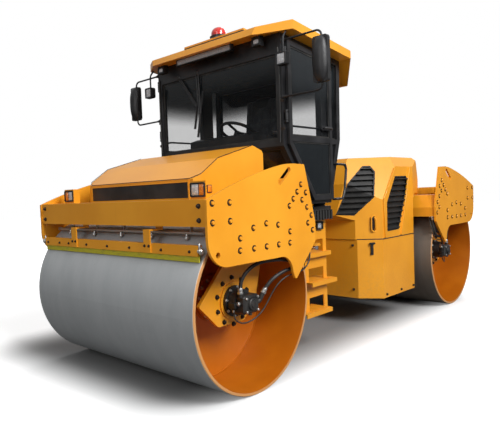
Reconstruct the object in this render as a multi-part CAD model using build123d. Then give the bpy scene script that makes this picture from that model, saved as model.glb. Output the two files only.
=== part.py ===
from build123d import *
import math
import os

# Articulated tandem vibratory road roller, millimetres.
# +X forward, +Y to the machine's left, +Z up. The origin is on the ground, half way between the drums,
# under the steering pivot.

# ---- drums ----
WHEELBASE = 4106
DRUM_RADIUS = 700
DRUM_WIDTH = 2120
DRUM_SHELL = 25
DRUM_EDGE = 6               # rounding of the rolling surface's ends
BULKHEAD_FACE = 560         # from the drum's middle to the outer face of its bulkhead
BULKHEAD = 20
STUB_RADIUS = 60            # bearing journal on each bulkhead
RUN_FIT = 0.05              # radial clearance of a journal in its bearing
GAP = 5                     # clearance between moving pieces

# ---- yokes: the side plates, the cross members and the drum legs ----
OVERALL_WIDTH = 2270
PLATE = 22
BEAM_TOP = 1530
BEAM_BOTTOM = 1340
BEAM_DEPTH = 240
SCRAPER_X = 586             # back of the blade, forward of the drum's axis
TIE_HOLE_RADIUS = 22
TIE_HOLE = (503, 1137)
LIFT_SLOT = ((-248, 1637), (-370, 1732))
LIFT_SLOT_WIDTH = 46
LEG_FACE = 810              # outer face of the drum leg, from the drum's middle
LEG = 30
LEG_TOP = 1098
BEARING_RADIUS = 150
MOTOR_RADIUS = 105
MOTOR_LENGTH = 150

# ---- steering pivot and cylinder ----
CHASSIS_HALF = 210
PIVOT_RADIUS = 40
EAR_RADIUS = 110
EAR = 50
LOWER_EAR = 590
UPPER_EAR = 1010
SWIVEL_Z = 825              # height of the shaft on which the rear frame rocks
SWIVEL_RADIUS = 70
CYLINDER_Z = 900
CYLINDER_ARM = 300          # the rod's pin is this far to the left of the steering pivot
CYLINDER_X = 800            # the barrel's pin
CYLINDER_Y = 290
CYLINDER_RADIUS = 45
CYLINDER_PIN = 20
ROD_RADIUS = 24
EYE = 50                    # height of both eyes
EYE_PLAY = 0.5

SWIVEL_END = -470

# ---- cab ----
DECK_BOTTOM = 1345
DECK = 50
CAB_HALF = 820
CAB_BAR = 60
CAB_FRONT = 1290
CAB_SILL = 2010
SILL_BAR = 50
WINDSCREEN_SILL = 2030
FLOOR = 1430
FLOOR_PLATE = 30
GLASS = 6
POST_FRONT = 658
POST_REAR = 484
DOOR = 28
HINGE_PIN = 8
ROOF_HALF = 950
ROOF_REST = (285, 2852)     # where the roof's underside passes the rear pillar
ROOF_RISE = 0.1134          # of the underside, towards the front
SEAT = 0.3                  # play left where one piece rests on another

# ---- rear body ----
BODY_HALF = 920
BODY_FRONT = -232
BODY_CORNER_Y = 695
BODY_SIDE_FRONT = -388
BODY_REAR = -1194
BODY_BOTTOM = 322
BODY_SEAM = 985
BODY_TOP = 1904
PANEL = 12
HOOD_HINGE = (-1590, 1500)
HOOD_HINGE_Y = 500
HOOD_PIN = 15
ENGINE = (-1100, -520, 380, 1400)   # rear, front, half width and top

DRUM_X = WHEELBASE / 2
PLATE_OUTER = OVERALL_WIDTH / 2
PLATE_INNER = PLATE_OUTER - PLATE
DRUM_END = DRUM_WIDTH / 2
DRUM_INNER = DRUM_RADIUS - DRUM_SHELL


# ---------------------------------------------------------------- shapes

def outline(corners):
    """Closed face through corners (across, up, radius): straight edges, with a tangent arc at a radius."""
    edges = []
    ends = []
    count = len(corners)
    for i, (x, z, radius) in enumerate(corners):
        here = Vector(x, z)
        before = (Vector(*corners[i - 1][:2]) - here).normalized()
        after = (Vector(*corners[(i + 1) % count][:2]) - here).normalized()
        if radius == 0:
            ends.append((here, here))
            continue
        half = math.radians(before.get_angle(after)) / 2
        start = here + before * (radius / math.tan(half))
        end = here + after * (radius / math.tan(half))
        middle = here + (before + after).normalized() * (radius / math.sin(half) - radius)
        edges.append(ThreePointArc(start, middle, end))
        ends.append((start, end))
    for i in range(count):
        edges.append(Line(ends[i][1], ends[(i + 1) % count][0]))
    return make_face(Wire(edges))


def sharp(points):
    return outline([(x, z, 0) for x, z in points])


def across(face, y_low, y_high):
    """A face drawn in X and Z, carried along Y."""
    return extrude(Plane.XZ.offset(-y_high) * face, amount=y_high - y_low)


def upright(face, z_low, z_high):
    """A face drawn in X and Y, carried along Z."""
    return extrude(Pos(0, 0, z_low) * face, amount=z_high - z_low)


def along(face, x_low, x_high):
    """A face drawn in Y and Z, carried along X."""
    return extrude(Plane.YZ.offset(x_low) * face, amount=x_high - x_low)


def block(x_low, x_high, y_low, y_high, z_low, z_high):
    centre = Pos((x_low + x_high) / 2, (y_low + y_high) / 2, (z_low + z_high) / 2)
    return centre * Box(x_high - x_low, y_high - y_low, z_high - z_low)


def rod_x(y, z, radius, x_low, x_high):
    return Pos((x_low + x_high) / 2, y, z) * Rot(0, 90, 0) * Cylinder(radius, x_high - x_low)


def rod_y(x, z, radius, y_low, y_high):
    return Pos(x, (y_low + y_high) / 2, z) * Rot(90, 0, 0) * Cylinder(radius, y_high - y_low)


def rod_z(x, y, radius, z_low, z_high):
    return Pos(x, y, (z_low + z_high) / 2) * Cylinder(radius, z_high - z_low)


def pipe(points, bends, radius):
    """A round bar of straight runs and tangent bends."""
    path = FilletPolyline(*points, radius=bends) if len(points) > 2 else Line(*points)
    section = Plane(origin=path @ 0, z_dir=path % 0) * Circle(radius)
    return sweep(section, path=path)


def right(shape):
    """The same piece on the machine's right."""
    return mirror(shape, about=Plane.XZ)


def rear(shape):
    """The same piece on the rear yoke, which faces the other way."""
    return mirror(shape, about=Plane.YZ)


def both(shape):
    return Compound([*shape.solids(), *right(shape).solids()])


def at_drum(shape):
    """From the drum's own place, with x outward, to the front drum's."""
    return Pos(DRUM_X, 0, 0) * shape


# ---------------------------------------------------------------- drums

def drum():
    shell = rod_y(0, DRUM_RADIUS, DRUM_RADIUS, -DRUM_END, DRUM_END)
    shell = chamfer(shell.edges().filter_by(GeomType.CIRCLE), DRUM_EDGE)
    shell -= rod_y(0, DRUM_RADIUS, DRUM_INNER, -DRUM_END - 1, DRUM_END + 1)
    for side in (1, -1):
        low, high = sorted((side * BULKHEAD_FACE, side * (BULKHEAD_FACE - BULKHEAD)))
        shell += rod_y(0, DRUM_RADIUS, DRUM_INNER + 1, low, high)
        low, high = sorted((side * (BULKHEAD_FACE - BULKHEAD), side * (LEG_FACE - LEG / 2)))
        shell += rod_y(0, DRUM_RADIUS, STUB_RADIUS, low, high)
        low, high = sorted((side * BULKHEAD_FACE, side * (BULKHEAD_FACE + 40)))
        shell += rod_y(0, DRUM_RADIUS, 190, low, high)
    return at_drum(shell)


# ---------------------------------------------------------------- yokes

def side_plate():
    top = [
        Line((-590, 1778), (-435, 1783)),
        ThreePointArc((-435, 1783), (-330, 1777), (-230, 1762)),
        ThreePointArc((-230, 1762), (190, 1664), (600, 1525)),
    ]
    corner = 200
    front = [
        Line((600, 1525), (600, 1045 + corner)),
        RadiusArc((600, 1045 + corner), (600 - corner, 1045), corner),
        Line((600 - corner, 1045), (-255, 1045)),
        ThreePointArc((-255, 1045), (-352, 998), (-392, 905)),
        Line((-392, 905), (-420, 850)),
        Line((-420, 850), (-440, 850)),
        Line((-440, 850), (-728, 1128)),
        Line((-728, 1128), (-734, 1298)),
        Line((-734, 1298), (-655, 1565)),
        Line((-655, 1565), (-590, 1778)),
    ]
    plate = across(make_face(Wire(top + front)), PLATE_INNER, PLATE_OUTER)
    plate -= rod_y(*TIE_HOLE, TIE_HOLE_RADIUS, PLATE_INNER - 1, PLATE_OUTER + 1)
    slot = SlotCenterToCenter(math.dist(*LIFT_SLOT), LIFT_SLOT_WIDTH)
    (x_a, z_a), (x_b, z_b) = LIFT_SLOT
    tilt = math.degrees(math.atan2(z_b - z_a, x_b - x_a))
    slot = Pos((x_a + x_b) / 2, (z_a + z_b) / 2) * Rot(0, 0, tilt) * slot
    plate -= across(slot, PLATE_INNER - 1, PLATE_OUTER + 1)
    return at_drum(plate)


def crossbeam():
    """Box beam across the nose, open at its back, with a foot on each side plate."""
    x_low = 590 - BEAM_DEPTH
    wall = 16
    foot = 20
    beam = block(x_low, 590, -PLATE_INNER, PLATE_INNER, BEAM_BOTTOM, BEAM_TOP)
    beam -= block(x_low - 1, 590 - wall, -PLATE_INNER + foot, PLATE_INNER - foot,
                  BEAM_BOTTOM + wall, BEAM_TOP - wall)
    return at_drum(beam)


def cross_member():
    """Slanting box that joins the side plates behind the drum and carries the machine's frame."""
    section = sharp([
        (-310, 1440), (-568, 1672), (-660, 1500), (-722, 1290), (-722, 1180),
        (-650, 1180), (-575, 1290), (-480, 1390), (-310, 1390),
    ])
    return at_drum(across(section, -PLATE_INNER, PLATE_INNER))


def rear_cross_member():
    """Like the front one, but lower, so that the hood closes over it."""
    section = sharp([
        (-310, 1440), (-640, 1440), (-722, 1290), (-722, 1180),
        (-650, 1180), (-575, 1290), (-480, 1390), (-310, 1390),
    ])
    return rear(at_drum(across(section, -PLATE_INNER, PLATE_INNER)))


def scraper_bar():
    """Angle bar in front of the drum, on two brackets bolted under the crossbeam."""
    half = DRUM_END - 20
    front = SCRAPER_X + 22
    bar = block(SCRAPER_X + 10, front, -half, half, 1135, 1210)
    bar += block(560, front, -half, half, 1198, 1210)
    for y in (-510, 510):
        bar += block(front, front + 12, y - 38, y + 38, 1138, 1315)
        bar += block(480, front + 12, y - 38, y + 38, 1303, 1315)
        bar += block(480, 492, y - 38, y + 38, 1303, BEAM_BOTTOM)
    return at_drum(bar)


def scraper_blade():
    """Flexible blade behind the bar, its lower edge just off the drum."""
    half = DRUM_END - 20
    return at_drum(block(SCRAPER_X, SCRAPER_X + 10, -half, half, 1092, 1198))


def leg():
    """Drum leg: a flange on the side plate, a box that reaches into the drum and an arm to the hub."""
    flange = sharp([(320, LEG_TOP), (320, 1400), (-420, 1400), (-420, LEG_TOP)])
    reach = across(flange, LEG_FACE - LEG, PLATE_INNER)
    reach &= rod_y(0, DRUM_RADIUS, DRUM_INNER - 20, LEG_FACE - LEG, PLATE_INNER)
    arm = outline([
        (385, 710, 10), (175, 515, 30), (-140, 515, 30), (-300, 680, 60),
        (-420, 1090, 0), (-420, 1120, 0), (-30, 1120, 0),
    ])
    arm = across(arm, LEG_FACE - LEG, LEG_FACE)
    bearing = rod_y(0, DRUM_RADIUS, BEARING_RADIUS, BULKHEAD_FACE + 80, LEG_FACE + 12)
    solid = reach + arm + bearing
    solid -= rod_y(0, DRUM_RADIUS, STUB_RADIUS + RUN_FIT, BULKHEAD_FACE, LEG_FACE - LEG / 2 + GAP)
    return at_drum(solid)


HOSE_RADIUS = 15
PIPE_RADIUS = 6
TOP_PORT = (74, 960, DRUM_RADIUS + 85)
ELBOW = (-150, 965, DRUM_RADIUS - 10)
REAR_PORT = (-176, 987.5, DRUM_RADIUS + 56.5)
DRAIN_PORT = (111, 915, DRUM_RADIUS - 45)


def motor():
    """Hydraulic motor on the leg: flange, round case, valve block and three ports with elbows."""
    z = DRUM_RADIUS
    face = LEG_FACE + 12
    case = rod_y(0, z, MOTOR_RADIUS + 20, face, face + 25)
    case += rod_y(0, z, MOTOR_RADIUS, face + 25, face + 25 + MOTOR_LENGTH * 0.5)
    valve = block(-100, 85, face + 80, face + 185, z - 80, z + 65)
    case += chamfer(valve.edges(), 16)
    case += rod_z(TOP_PORT[0], TOP_PORT[1], 19, z + 50, TOP_PORT[2])
    case += pipe([(-80, ELBOW[1], ELBOW[2]), ELBOW, REAR_PORT], [28], 19)
    case += block(60, 130, face + 60, face + 120, z - 30, z + 10)
    case += rod_z(DRAIN_PORT[0], DRAIN_PORT[1], 11, DRAIN_PORT[2], z - 20)
    return at_drum(case)


HOSE_START = 1180       # underside of the cross member
HOSES = {
    "pressure": (HOSE_RADIUS, [
        (-672, 1086.5, HOSE_START), (-672, 1086.5, 1113), (-645.4, 1086.5, 1049), (-596, 1086.5, 999.6),
        (-532, 1086.5, 973), (-470, 1086.5, 972.5), (-392, 1084, 1000), (-300, 1076, 1014), (-211, 1060, 1019),
        (-131, 1043, 1018), (-54, 1024, 1006), (6, 1002, 974), (52, 978, 922), (74, 960, 856), TOP_PORT,
    ]),
    "return": (HOSE_RADIUS, [
        (-706, 1086.5, HOSE_START), (-706, 1086.5, 1105), (-684, 1086.5, 1034), (-640, 1086.5, 974),
        (-577, 1086.5, 934), (-500, 1086.5, 922), (-395, 1081, 925), (-288, 1052, 892),
        (-202, 1010, 823), REAR_PORT,
    ]),
    "drain": (PIPE_RADIUS, [
        (-702, 1052, HOSE_START), (-702, 1052, 1130), (-714, 1062, 1080), (-716, 1086, 1028), (-700, 1091, 972),
        (-662, 1091, 926), (-606, 1091, 896), (-540, 1090, 884), (-472, 1089, 880), (-405, 1086, 876),
        (-337, 1067, 852), (-282, 1046, 806), (-240, 1024, 742), (-206, 1006, 678), (-166, 993, 622),
        (-115, 981, 580), (-56, 970, 555), (2, 957, 541), (52, 942, 543), (90, 926, 565), (111, 915, 605),
        DRAIN_PORT,
    ]),
}


def hose(name):
    """A hose's tube: straight runs with an arc at each corner as large as the shorter run allows."""
    radius, route = HOSES[name]
    points = [Vector(*point) for point in route]
    runs = [b - a for a, b in zip(points, points[1:])]
    bends = []
    for before, after in zip(runs, runs[1:]):
        half = math.radians(before.get_angle(after) / 2)
        bends.append(0.45 * min(before.length, after.length) / math.tan(half))
    print(name, "hose: bend radii", [round(bend) for bend in bends], "runs", [round(run.length) for run in runs])
    tube = pipe(route, bends, radius)
    print(name, "hose: volume over section", round(tube.volume / (math.pi * radius ** 2)), "mm")
    return at_drum(tube)


# ---------------------------------------------------------------- front frame

def water_tank():
    """Sprinkler tank over the front drum, whose sloping lid is the machine's nose."""
    side = sharp([
        (2340, 1455), (2340, 1690), (2090, 1850), (1850, 1912), (1640, 1965),
        (1520, 1925), (1500, 1900), (1500, 1659), (1727, 1455),
    ])
    tank = across(side, -745, 745)
    nose = sharp([(2400, 660), (2290, 745), (1400, 745), (1400, -745), (2290, -745), (2400, -660)])
    return tank & upright(nose, 1400, 2000)


def rear_tank():
    """Flat sprinkler tank over the rear drum."""
    face = -DRUM_X + 310 - SEAT
    side = sharp([
        (-2340, 1445), (-2340, 1510), (-2300, 1530), (-1800, 1530), (face, 1510), (face, 1400),
        (-1800, 1400), (-1840, 1445),
    ])
    tank = across(side, -745, 745)
    for x in (-1900, -2200):
        tank += rod_z(x, 0, 60, 1520, 1560)
    return tank


def headlight():
    """Lamp box on the crossbeam."""
    return block(2400, 2470, 800, 960, BEAM_TOP, 1665)


def chassis():
    """Centre frame under the cab, from the cross member back to the two ears of the steering pivot."""
    side = sharp([
        (1393, 1500), (1331, 1290), (1331, 1200), (1240, 1050), (1240, 640), (1180, 590),
        (420, 590), (420, DECK_BOTTOM), (1240, DECK_BOTTOM), (1300, 1480),
    ])
    frame = across(side, -CHASSIS_HALF, CHASSIS_HALF)
    plan = outline([(430, CHASSIS_HALF, 0), (-EAR_RADIUS, EAR_RADIUS, EAR_RADIUS - 1),
                    (-EAR_RADIUS, -EAR_RADIUS, EAR_RADIUS - 1), (430, -CHASSIS_HALF, 0)])
    for z in (LOWER_EAR, UPPER_EAR):
        ear = upright(plan, z, z + EAR)
        ear -= rod_z(0, 0, PIVOT_RADIUS + RUN_FIT, z - 1, z + EAR + 1)
        frame += ear
    lug = EYE / 2 + 3
    for low in (CYLINDER_Z - lug - 22, CYLINDER_Z + lug):
        frame += block(CYLINDER_X - 45, CYLINDER_X + 45, CHASSIS_HALF, CYLINDER_Y, low, low + 22)
        frame += rod_z(CYLINDER_X, CYLINDER_Y, 45, low, low + 22)
    frame += rod_z(CYLINDER_X, CYLINDER_Y, CYLINDER_PIN, CYLINDER_Z - lug - 30, CYLINDER_Z + lug + 30)
    return frame


def articulation_link():
    """Pivot block between the ears, with the shaft that the rear frame rocks on and the cylinder's arm."""
    low = LOWER_EAR + EAR + GAP
    high = UPPER_EAR - GAP
    link = rod_z(0, 0, 95, low, high)
    link += rod_z(0, 0, PIVOT_RADIUS, LOWER_EAR, UPPER_EAR + EAR)
    link += rod_x(0, SWIVEL_Z, 120, BODY_FRONT + GAP, 0)
    link += rod_x(0, SWIVEL_Z, SWIVEL_RADIUS, SWIVEL_END, BODY_FRONT + GAP + 1)
    for z in (CYLINDER_Z - EYE / 2 - EYE_PLAY - 30, CYLINDER_Z + EYE / 2 + EYE_PLAY):
        link += block(-60, 60, 0, CYLINDER_ARM, z, z + 30)
        link += rod_z(0, CYLINDER_ARM, 60, z, z + 30)
    return link


def on_cylinder(shape):
    """From a cylinder drawn along +X from its barrel's pin to its place beside the chassis."""
    turn = math.degrees(math.atan2(CYLINDER_ARM - CYLINDER_Y, -CYLINDER_X))
    return Pos(CYLINDER_X, CYLINDER_Y, CYLINDER_Z) * Rot(0, 0, turn) * shape


CYLINDER_LENGTH = math.hypot(CYLINDER_X, CYLINDER_ARM - CYLINDER_Y)
BARREL_END = 560
PISTON = 256                # the rod's inner end, with the machine straight


def steering_barrel():
    barrel = rod_x(0, 0, CYLINDER_RADIUS, 62, BARREL_END)
    barrel += rod_x(0, 0, ROD_RADIUS, 10, 70)
    barrel += rod_x(0, 0, CYLINDER_RADIUS + 8, BARREL_END - 45, BARREL_END)
    barrel += rod_z(0, 0, 48, -EYE / 2, EYE / 2)
    barrel -= rod_z(0, 0, CYLINDER_PIN + RUN_FIT, -EYE, EYE)
    barrel -= rod_x(0, 0, ROD_RADIUS + RUN_FIT, 75, BARREL_END + 1)
    return on_cylinder(barrel)


def steering_rod():
    rod = rod_x(0, 0, ROD_RADIUS, PISTON, CYLINDER_LENGTH)
    rod += rod_z(CYLINDER_LENGTH, 0, 45, -EYE / 2, EYE / 2)
    return on_cylinder(rod)


def cab_platform():
    """Deck that carries the cab, on four mounts."""
    top = DECK_BOTTOM + DECK
    deck = block(420, 1230, -760, 760, DECK_BOTTOM, top)
    for x in (545, 835):
        for y in (-700, 700):
            deck += rod_z(x, y, 45, top, FLOOR)
    return deck


def entry_step():
    """Ribbed rubber tread on a bracket beside the deck, under the door."""
    step = block(630, 980, 760, 900, 1275, 1365)
    for x in range(655, 980, 50):
        step -= block(x, x + 22, 885, 901, 1270, 1370)
    return step


TREADS = [          # top of tread, rear end, front end, outer edge
    (412, 660, 1100, 890),
    (692, 560, 1000, 890),
    (962, 610, 1000, 860),
]


def ladder():
    """Step plate under the door, with three treads that reach in through toe holes."""
    plate = block(620, 1000, 800, 812, 400, 1275)
    plate += block(620, 1000, CHASSIS_HALF, 812, 1180, 1192)
    for top, x_low, x_high, y_out in TREADS:
        plate -= block(680, 940, 799, 813, top, top + 120)
        plate += block(x_low, x_high, 650, y_out, top - 12, top)
        plate += block(x_low, x_high, y_out - 12, y_out, top - 40, top)
    return plate


# ---------------------------------------------------------------- cab

def under_roof(x):
    return ROOF_REST[1] + (x - ROOF_REST[0]) * ROOF_RISE


CAB_REAR = 290
CAB_SIDE = [
    (CAB_FRONT, under_roof(CAB_FRONT) - SEAT), (CAB_FRONT, 1970), (880, FLOOR), (510, FLOOR), (310, 2060),
    (CAB_REAR, under_roof(CAB_REAR) - SEAT),
]


def inset(points, distance):
    return offset(sharp(points), amount=-distance, kind=Kind.INTERSECTION)


def between(x_low, x_high, z_low, z_high):
    """Rectangle in X and Z."""
    return sharp([(x_low, z_low), (x_high, z_low), (x_high, z_high), (x_low, z_high)])


def cab_frame():
    """Welded tube frame: two side rings with a door post each, joined by rails across the corners."""
    bar = CAB_BAR
    form = sharp(CAB_SIDE)
    ring = form - inset(CAB_SIDE, bar)
    ring += form & between(POST_REAR, POST_FRONT, 1400, 3000)
    ring += form & between(CAB_REAR, POST_FRONT, CAB_SILL, CAB_SILL + SILL_BAR)
    side = across(ring, CAB_HALF - bar, CAB_HALF)
    frame = side + right(side)
    rails = [
        (CAB_FRONT - bar, CAB_FRONT, 2790, 3000), (CAB_FRONT - bar, CAB_FRONT, 1940, WINDSCREEN_SILL),
        (820, 900, FLOOR, FLOOR + bar), (500, 580, FLOOR, FLOOR + bar),
        (CAB_REAR, 360, CAB_SILL, CAB_SILL + SILL_BAR), (CAB_REAR, 350, 2760, 3000),
    ]
    for rail in rails:
        frame += across(between(*rail) & form, -CAB_HALF, CAB_HALF)
    return frame


def cab_floor():
    """Floor plate on the frame's lower rails."""
    low = FLOOR + CAB_BAR
    half = CAB_HALF - CAB_BAR
    return across(inset(CAB_SIDE, CAB_BAR) & between(0, 1300, low, low + FLOOR_PLATE), -half, half)


def lower_panel(points, depth):
    """Flat panel across the cab, just inside one slanting edge of its side."""
    (x_a, z_a), (x_b, z_b) = points
    run = math.hypot(x_b - x_a, z_b - z_a)
    step = ((z_b - z_a) / run, -(x_b - x_a) / run)
    inner = [(x + step[0] * (depth + GLASS), z + step[1] * (depth + GLASS)) for x, z in points]
    outer = [(x + step[0] * depth, z + step[1] * depth) for x, z in points]
    half = CAB_HALF - CAB_BAR
    return across(sharp([outer[0], outer[1], inner[1], inner[0]]), -half, half) - cab_frame()


def toe_glass():
    return lower_panel([(CAB_FRONT, 1970), (880, FLOOR)], 25).solids().sort_by(SortBy.VOLUME)[-1]


def cab_rear_panel():
    return lower_panel([(510, FLOOR), (310, 2060)], 25).solids().sort_by(SortBy.VOLUME)[-1]


def windscreen():
    half = CAB_HALF - CAB_BAR
    return block(CAB_FRONT - 30, CAB_FRONT - 30 + GLASS, -half, half, WINDSCREEN_SILL, 2790)


def rear_window():
    half = CAB_HALF - CAB_BAR
    return block(325, 325 + GLASS, -half, half, CAB_SILL + SILL_BAR, 2760)


def quarter_glass():
    """Upper and lower panes behind the door post."""
    y = CAB_HALF - 30
    opening = inset(CAB_SIDE, CAB_BAR + SEAT)
    upper = opening & between(CAB_REAR, POST_REAR, CAB_SILL + SILL_BAR, 3000)
    lower = opening & between(CAB_REAR, POST_REAR, 1400, CAB_SILL)
    return Compound([*across(upper, y, y + GLASS).solids(), *across(lower, y, y + GLASS).solids()])


HINGE_X = 1262
HINGE_Y = CAB_HALF + 22
DOOR_EDGE = [
    (1240, under_roof(1240) - 50), (1240, 1985), (858, 1462), (515, 1462), (515, under_roof(515) - 50),
]


def door_frame():
    """Door leaf: a flat frame outside the cab's ring, with a rail between its two panes."""
    y = CAB_HALF + GAP
    leaf = sharp(DOOR_EDGE) - inset(DOOR_EDGE, 45)
    leaf += sharp(DOOR_EDGE) & between(500, 1300, CAB_SILL, CAB_SILL + SILL_BAR)
    frame = across(leaf, y, y + DOOR)
    for z in (2200, 2750):
        frame += rod_z(HINGE_X, HINGE_Y, 15, z, z + 60)
        frame += block(1200, HINGE_X, y + 8, y + DOOR - 4, z, z + 60)
        frame -= rod_z(HINGE_X, HINGE_Y, HINGE_PIN + RUN_FIT, z - 1, z + 61)
    return frame


def door_glass():
    """Upper and lower panes in the door's frame."""
    y = CAB_HALF + GAP + DOOR / 2 - GLASS / 2
    opening = inset(DOOR_EDGE, 45)
    upper = opening & between(500, 1300, CAB_SILL + SILL_BAR, 3000)
    lower = opening & between(500, 1300, 1400, CAB_SILL)
    return Compound([*across(upper, y, y + GLASS).solids(), *across(lower, y, y + GLASS).solids()])


def door_hinges():
    """Two hinge pins on brackets welded to the front pillar."""
    pins = []
    for z in (2200, 2750):
        pin = rod_z(HINGE_X, HINGE_Y, HINGE_PIN, z - 25, z + 85)
        for z_low in (z - 25, z + 65):
            pin += rod_z(HINGE_X, HINGE_Y, 15, z_low, z_low + 20)
            pin += block(HINGE_X - 10, HINGE_X + 10, CAB_HALF, HINGE_Y, z_low, z_low + 20)
        pins.append(pin.solid())
    return Compound(pins)


def roof():
    """Moulded roof: a shallow shell whose edge hangs over the cab as a peak all round."""
    top = sharp([
        (1500, 2945), (1480, 3010), (1290, 3045), (300, 2930), (60, 2720), (40, 2640),
        (75, 2640), ROOF_REST, (CAB_FRONT, under_roof(CAB_FRONT)), (1465, 2945),
    ])
    lid = across(top, -ROOF_HALF, ROOF_HALF)
    plan = sharp([
        (1510, 650), (1285, ROOF_HALF), (290, ROOF_HALF), (30, 760),
        (30, -760), (290, -ROOF_HALF), (1285, -ROOF_HALF), (1510, -650),
    ])
    return lid & upright(plan, 2600, 3100)


def roof_hatch():
    """Raised cover on the front of the roof, on a smaller dark curb."""
    def slab(x_low, x_high, half, low, high):
        slope = 0.116
        face = sharp([
            (x_low, 2930 + (x_low - 300) * slope + low), (x_high, 2930 + (x_high - 300) * slope + low),
            (x_high, 2930 + (x_high - 300) * slope + high), (x_low, 2930 + (x_low - 300) * slope + high),
        ])
        return across(face, -half, half)
    return slab(700, 1230, 340, 0.5, 35) + slab(650, 1280, 400, 35, 70)


def beacon():
    base = rod_z(1180, 0, 85, 3095, 3140) - roof_hatch()
    dome = rod_z(1180, 0, 75, 3140, 3235)
    dome = fillet(dome.edges().sort_by(Axis.Z)[-1], 60)
    return base + dome


def light_bar():
    return block(1395, 1430, -370, 370, 2890, 2980) - roof()


def roof_lamps():
    """Two work lamps under the roof's front corners."""
    lamp = block(1350, 1410, 590, 680, 2870, 2980) - roof()
    return both(lamp)


def mirror_arm():
    """Bent tube from the front pillar that carries the mirror outside the cab."""
    x = 1280
    y = 1220
    arm = pipe([(x, CAB_HALF, 2895), (x, y, 2895), (x, y, 2400), (x, CAB_HALF, 2400)], [50, 50], 9)
    return arm


def mirror_head():
    head = outline([(-70, -190, 20), (70, -190, 20), (70, 190, 20), (-70, 190, 20)])
    return along(Pos(1220, 2647) * head, 1272, 1312)


# ---------------------------------------------------------------- inside the cab

def seat_base():
    return block(535, 760, -200, 200, FLOOR + CAB_BAR + FLOOR_PLATE, 1880)


def seat_cushion():
    cushion = block(470, 930, -250, 250, 1880 + SEAT, 1985)
    return fillet(cushion.edges(), 25)


def seat_backrest():
    back = sharp([(480, 1985 + SEAT), (590, 1985 + SEAT), (500, 2600), (400, 2600)])
    back = across(back, -240, 240)
    return fillet(back.edges(), 20)


def dashboard():
    """Instrument console behind the windscreen, on the steering column."""
    top = sharp([(1225, 2040), (1225, 2120), (1120, 2150), (1010, 2120), (1010, 2040)])
    dash = across(top, -420, 420)
    column = sharp([(1010, 2060), (1120, 2060), (850, 1520), (790, 1520)])
    return dash + across(column, -90, 90)


def steering_wheel():
    wheel = Torus(190, 16)
    hub = Pos(0, 0, -30) * Cylinder(40, 60)
    for turn in (0, 120, 240):
        spoke = Rot(0, 0, turn) * Pos(95, 0, 0) * Box(190, 30, 10)
        hub += spoke
    shaft = Pos(0, 0, -90) * Cylinder(18, 120)
    return Pos(930, 0, 2195) * Rot(0, -28, 0) * (wheel + hub + shaft)


# ---------------------------------------------------------------- rear body

def body_plan(grow=0.0):
    return [
        (BODY_FRONT + grow, BODY_CORNER_Y), (BODY_SIDE_FRONT, BODY_HALF + grow),
        (BODY_REAR - grow, BODY_HALF + grow), (BODY_REAR - grow, -BODY_HALF - grow),
        (BODY_SIDE_FRONT, -BODY_HALF - grow), (BODY_FRONT + grow, -BODY_CORNER_Y),
    ]


def lower_body():
    """Welded tub of the rear frame, open at the top, with the bearings of the rocking shaft."""
    tub = upright(sharp(body_plan()), BODY_BOTTOM, BODY_SEAM)
    tub -= upright(inset(body_plan(), PANEL), BODY_BOTTOM + 30, BODY_SEAM + 1)
    tub += block(BODY_FRONT - 60, BODY_FRONT - PANEL, -300, 300, BODY_BOTTOM + 30, BODY_SEAM)
    tub += block(-460, -420, -300, 300, BODY_BOTTOM + 30, BODY_SEAM)
    tub += block(BODY_REAR, BODY_REAR + PANEL, -880, 880, BODY_BOTTOM, 1340)
    tub += block(-1331, BODY_REAR, -430, 430, 900, 1280)
    tub -= rod_x(0, SWIVEL_Z, SWIVEL_RADIUS + RUN_FIT, SWIVEL_END - 20, BODY_FRONT + 20)
    return tub


def engine():
    x_rear, x_front, half, top = ENGINE
    return block(x_rear, x_front, -half, half, BODY_BOTTOM + 30, top)


HOOD_SEAM = BODY_SEAM + SEAT
HOOD_REAR = -1560
HOOD_FLOOR = 1470
HOOD_SIDE = [
    (-222, HOOD_SEAM), (-222, 1200), (-104, 1262), (-160, 1610), (-300, 1860), (-340, BODY_TOP),
    (-1340, BODY_TOP), (-1450, 1850), (HOOD_REAR, 1640), (HOOD_REAR, HOOD_FLOOR), (-1300, HOOD_FLOOR),
    (BODY_REAR, 1400),
    (BODY_REAR, HOOD_SEAM),
]
HOOD_PLAN = [
    (0, 359), (BODY_SIDE_FRONT, BODY_HALF), (BODY_REAR, BODY_HALF), (HOOD_REAR - 10, 830),
    (HOOD_REAR - 10, -830), (BODY_REAR, -BODY_HALF), (BODY_SIDE_FRONT, -BODY_HALF), (0, -359),
]
HOOD_END = [
    (BODY_HALF, 800), (BODY_HALF, 1790), (850, BODY_TOP), (-850, BODY_TOP), (-BODY_HALF, 1790), (-BODY_HALF, 800),
]
FACET_POINT = (-388, BODY_HALF, 1420)
FACET_SQUARE = (0.544, 0.691, 0.479)
SIDE_LOUVRE = [(-715, 1678), (-1006, 1682), (-1072, 1624), (-789, 1066), (-498, 1060), (-502, 1387)]
CORNER_LOUVRE = [
    (183, 1266), (272, 1463), (320, 1616), (501, 1809), (590, 1809), (640, 1740), (597, 1450), (383, 1254),
]
HOOD_CORNER = (0, 359)
CORNER_TURN = math.degrees(math.atan2(BODY_HALF - 359, -BODY_SIDE_FRONT))


def hood_form(wall):
    """The hood's outer form, a form inside it, or with a wall under 0 one outside it."""
    sides = [(x, z - (100 if wall and z == HOOD_SEAM else 0)) for x, z in HOOD_SIDE]
    form = across(inset(sides, wall) if wall else sharp(sides), -1000, 1000)
    form &= upright(inset(HOOD_PLAN, wall) if wall else sharp(HOOD_PLAN), 800, 2000)
    form &= along(inset(HOOD_END, wall) if wall else sharp(HOOD_END), -1700, 100)
    facet = Plane(origin=FACET_POINT, z_dir=FACET_SQUARE) * Pos(0, 0, 500 - wall) * Box(2000, 2000, 1000)
    return form - facet - right(facet)


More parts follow.
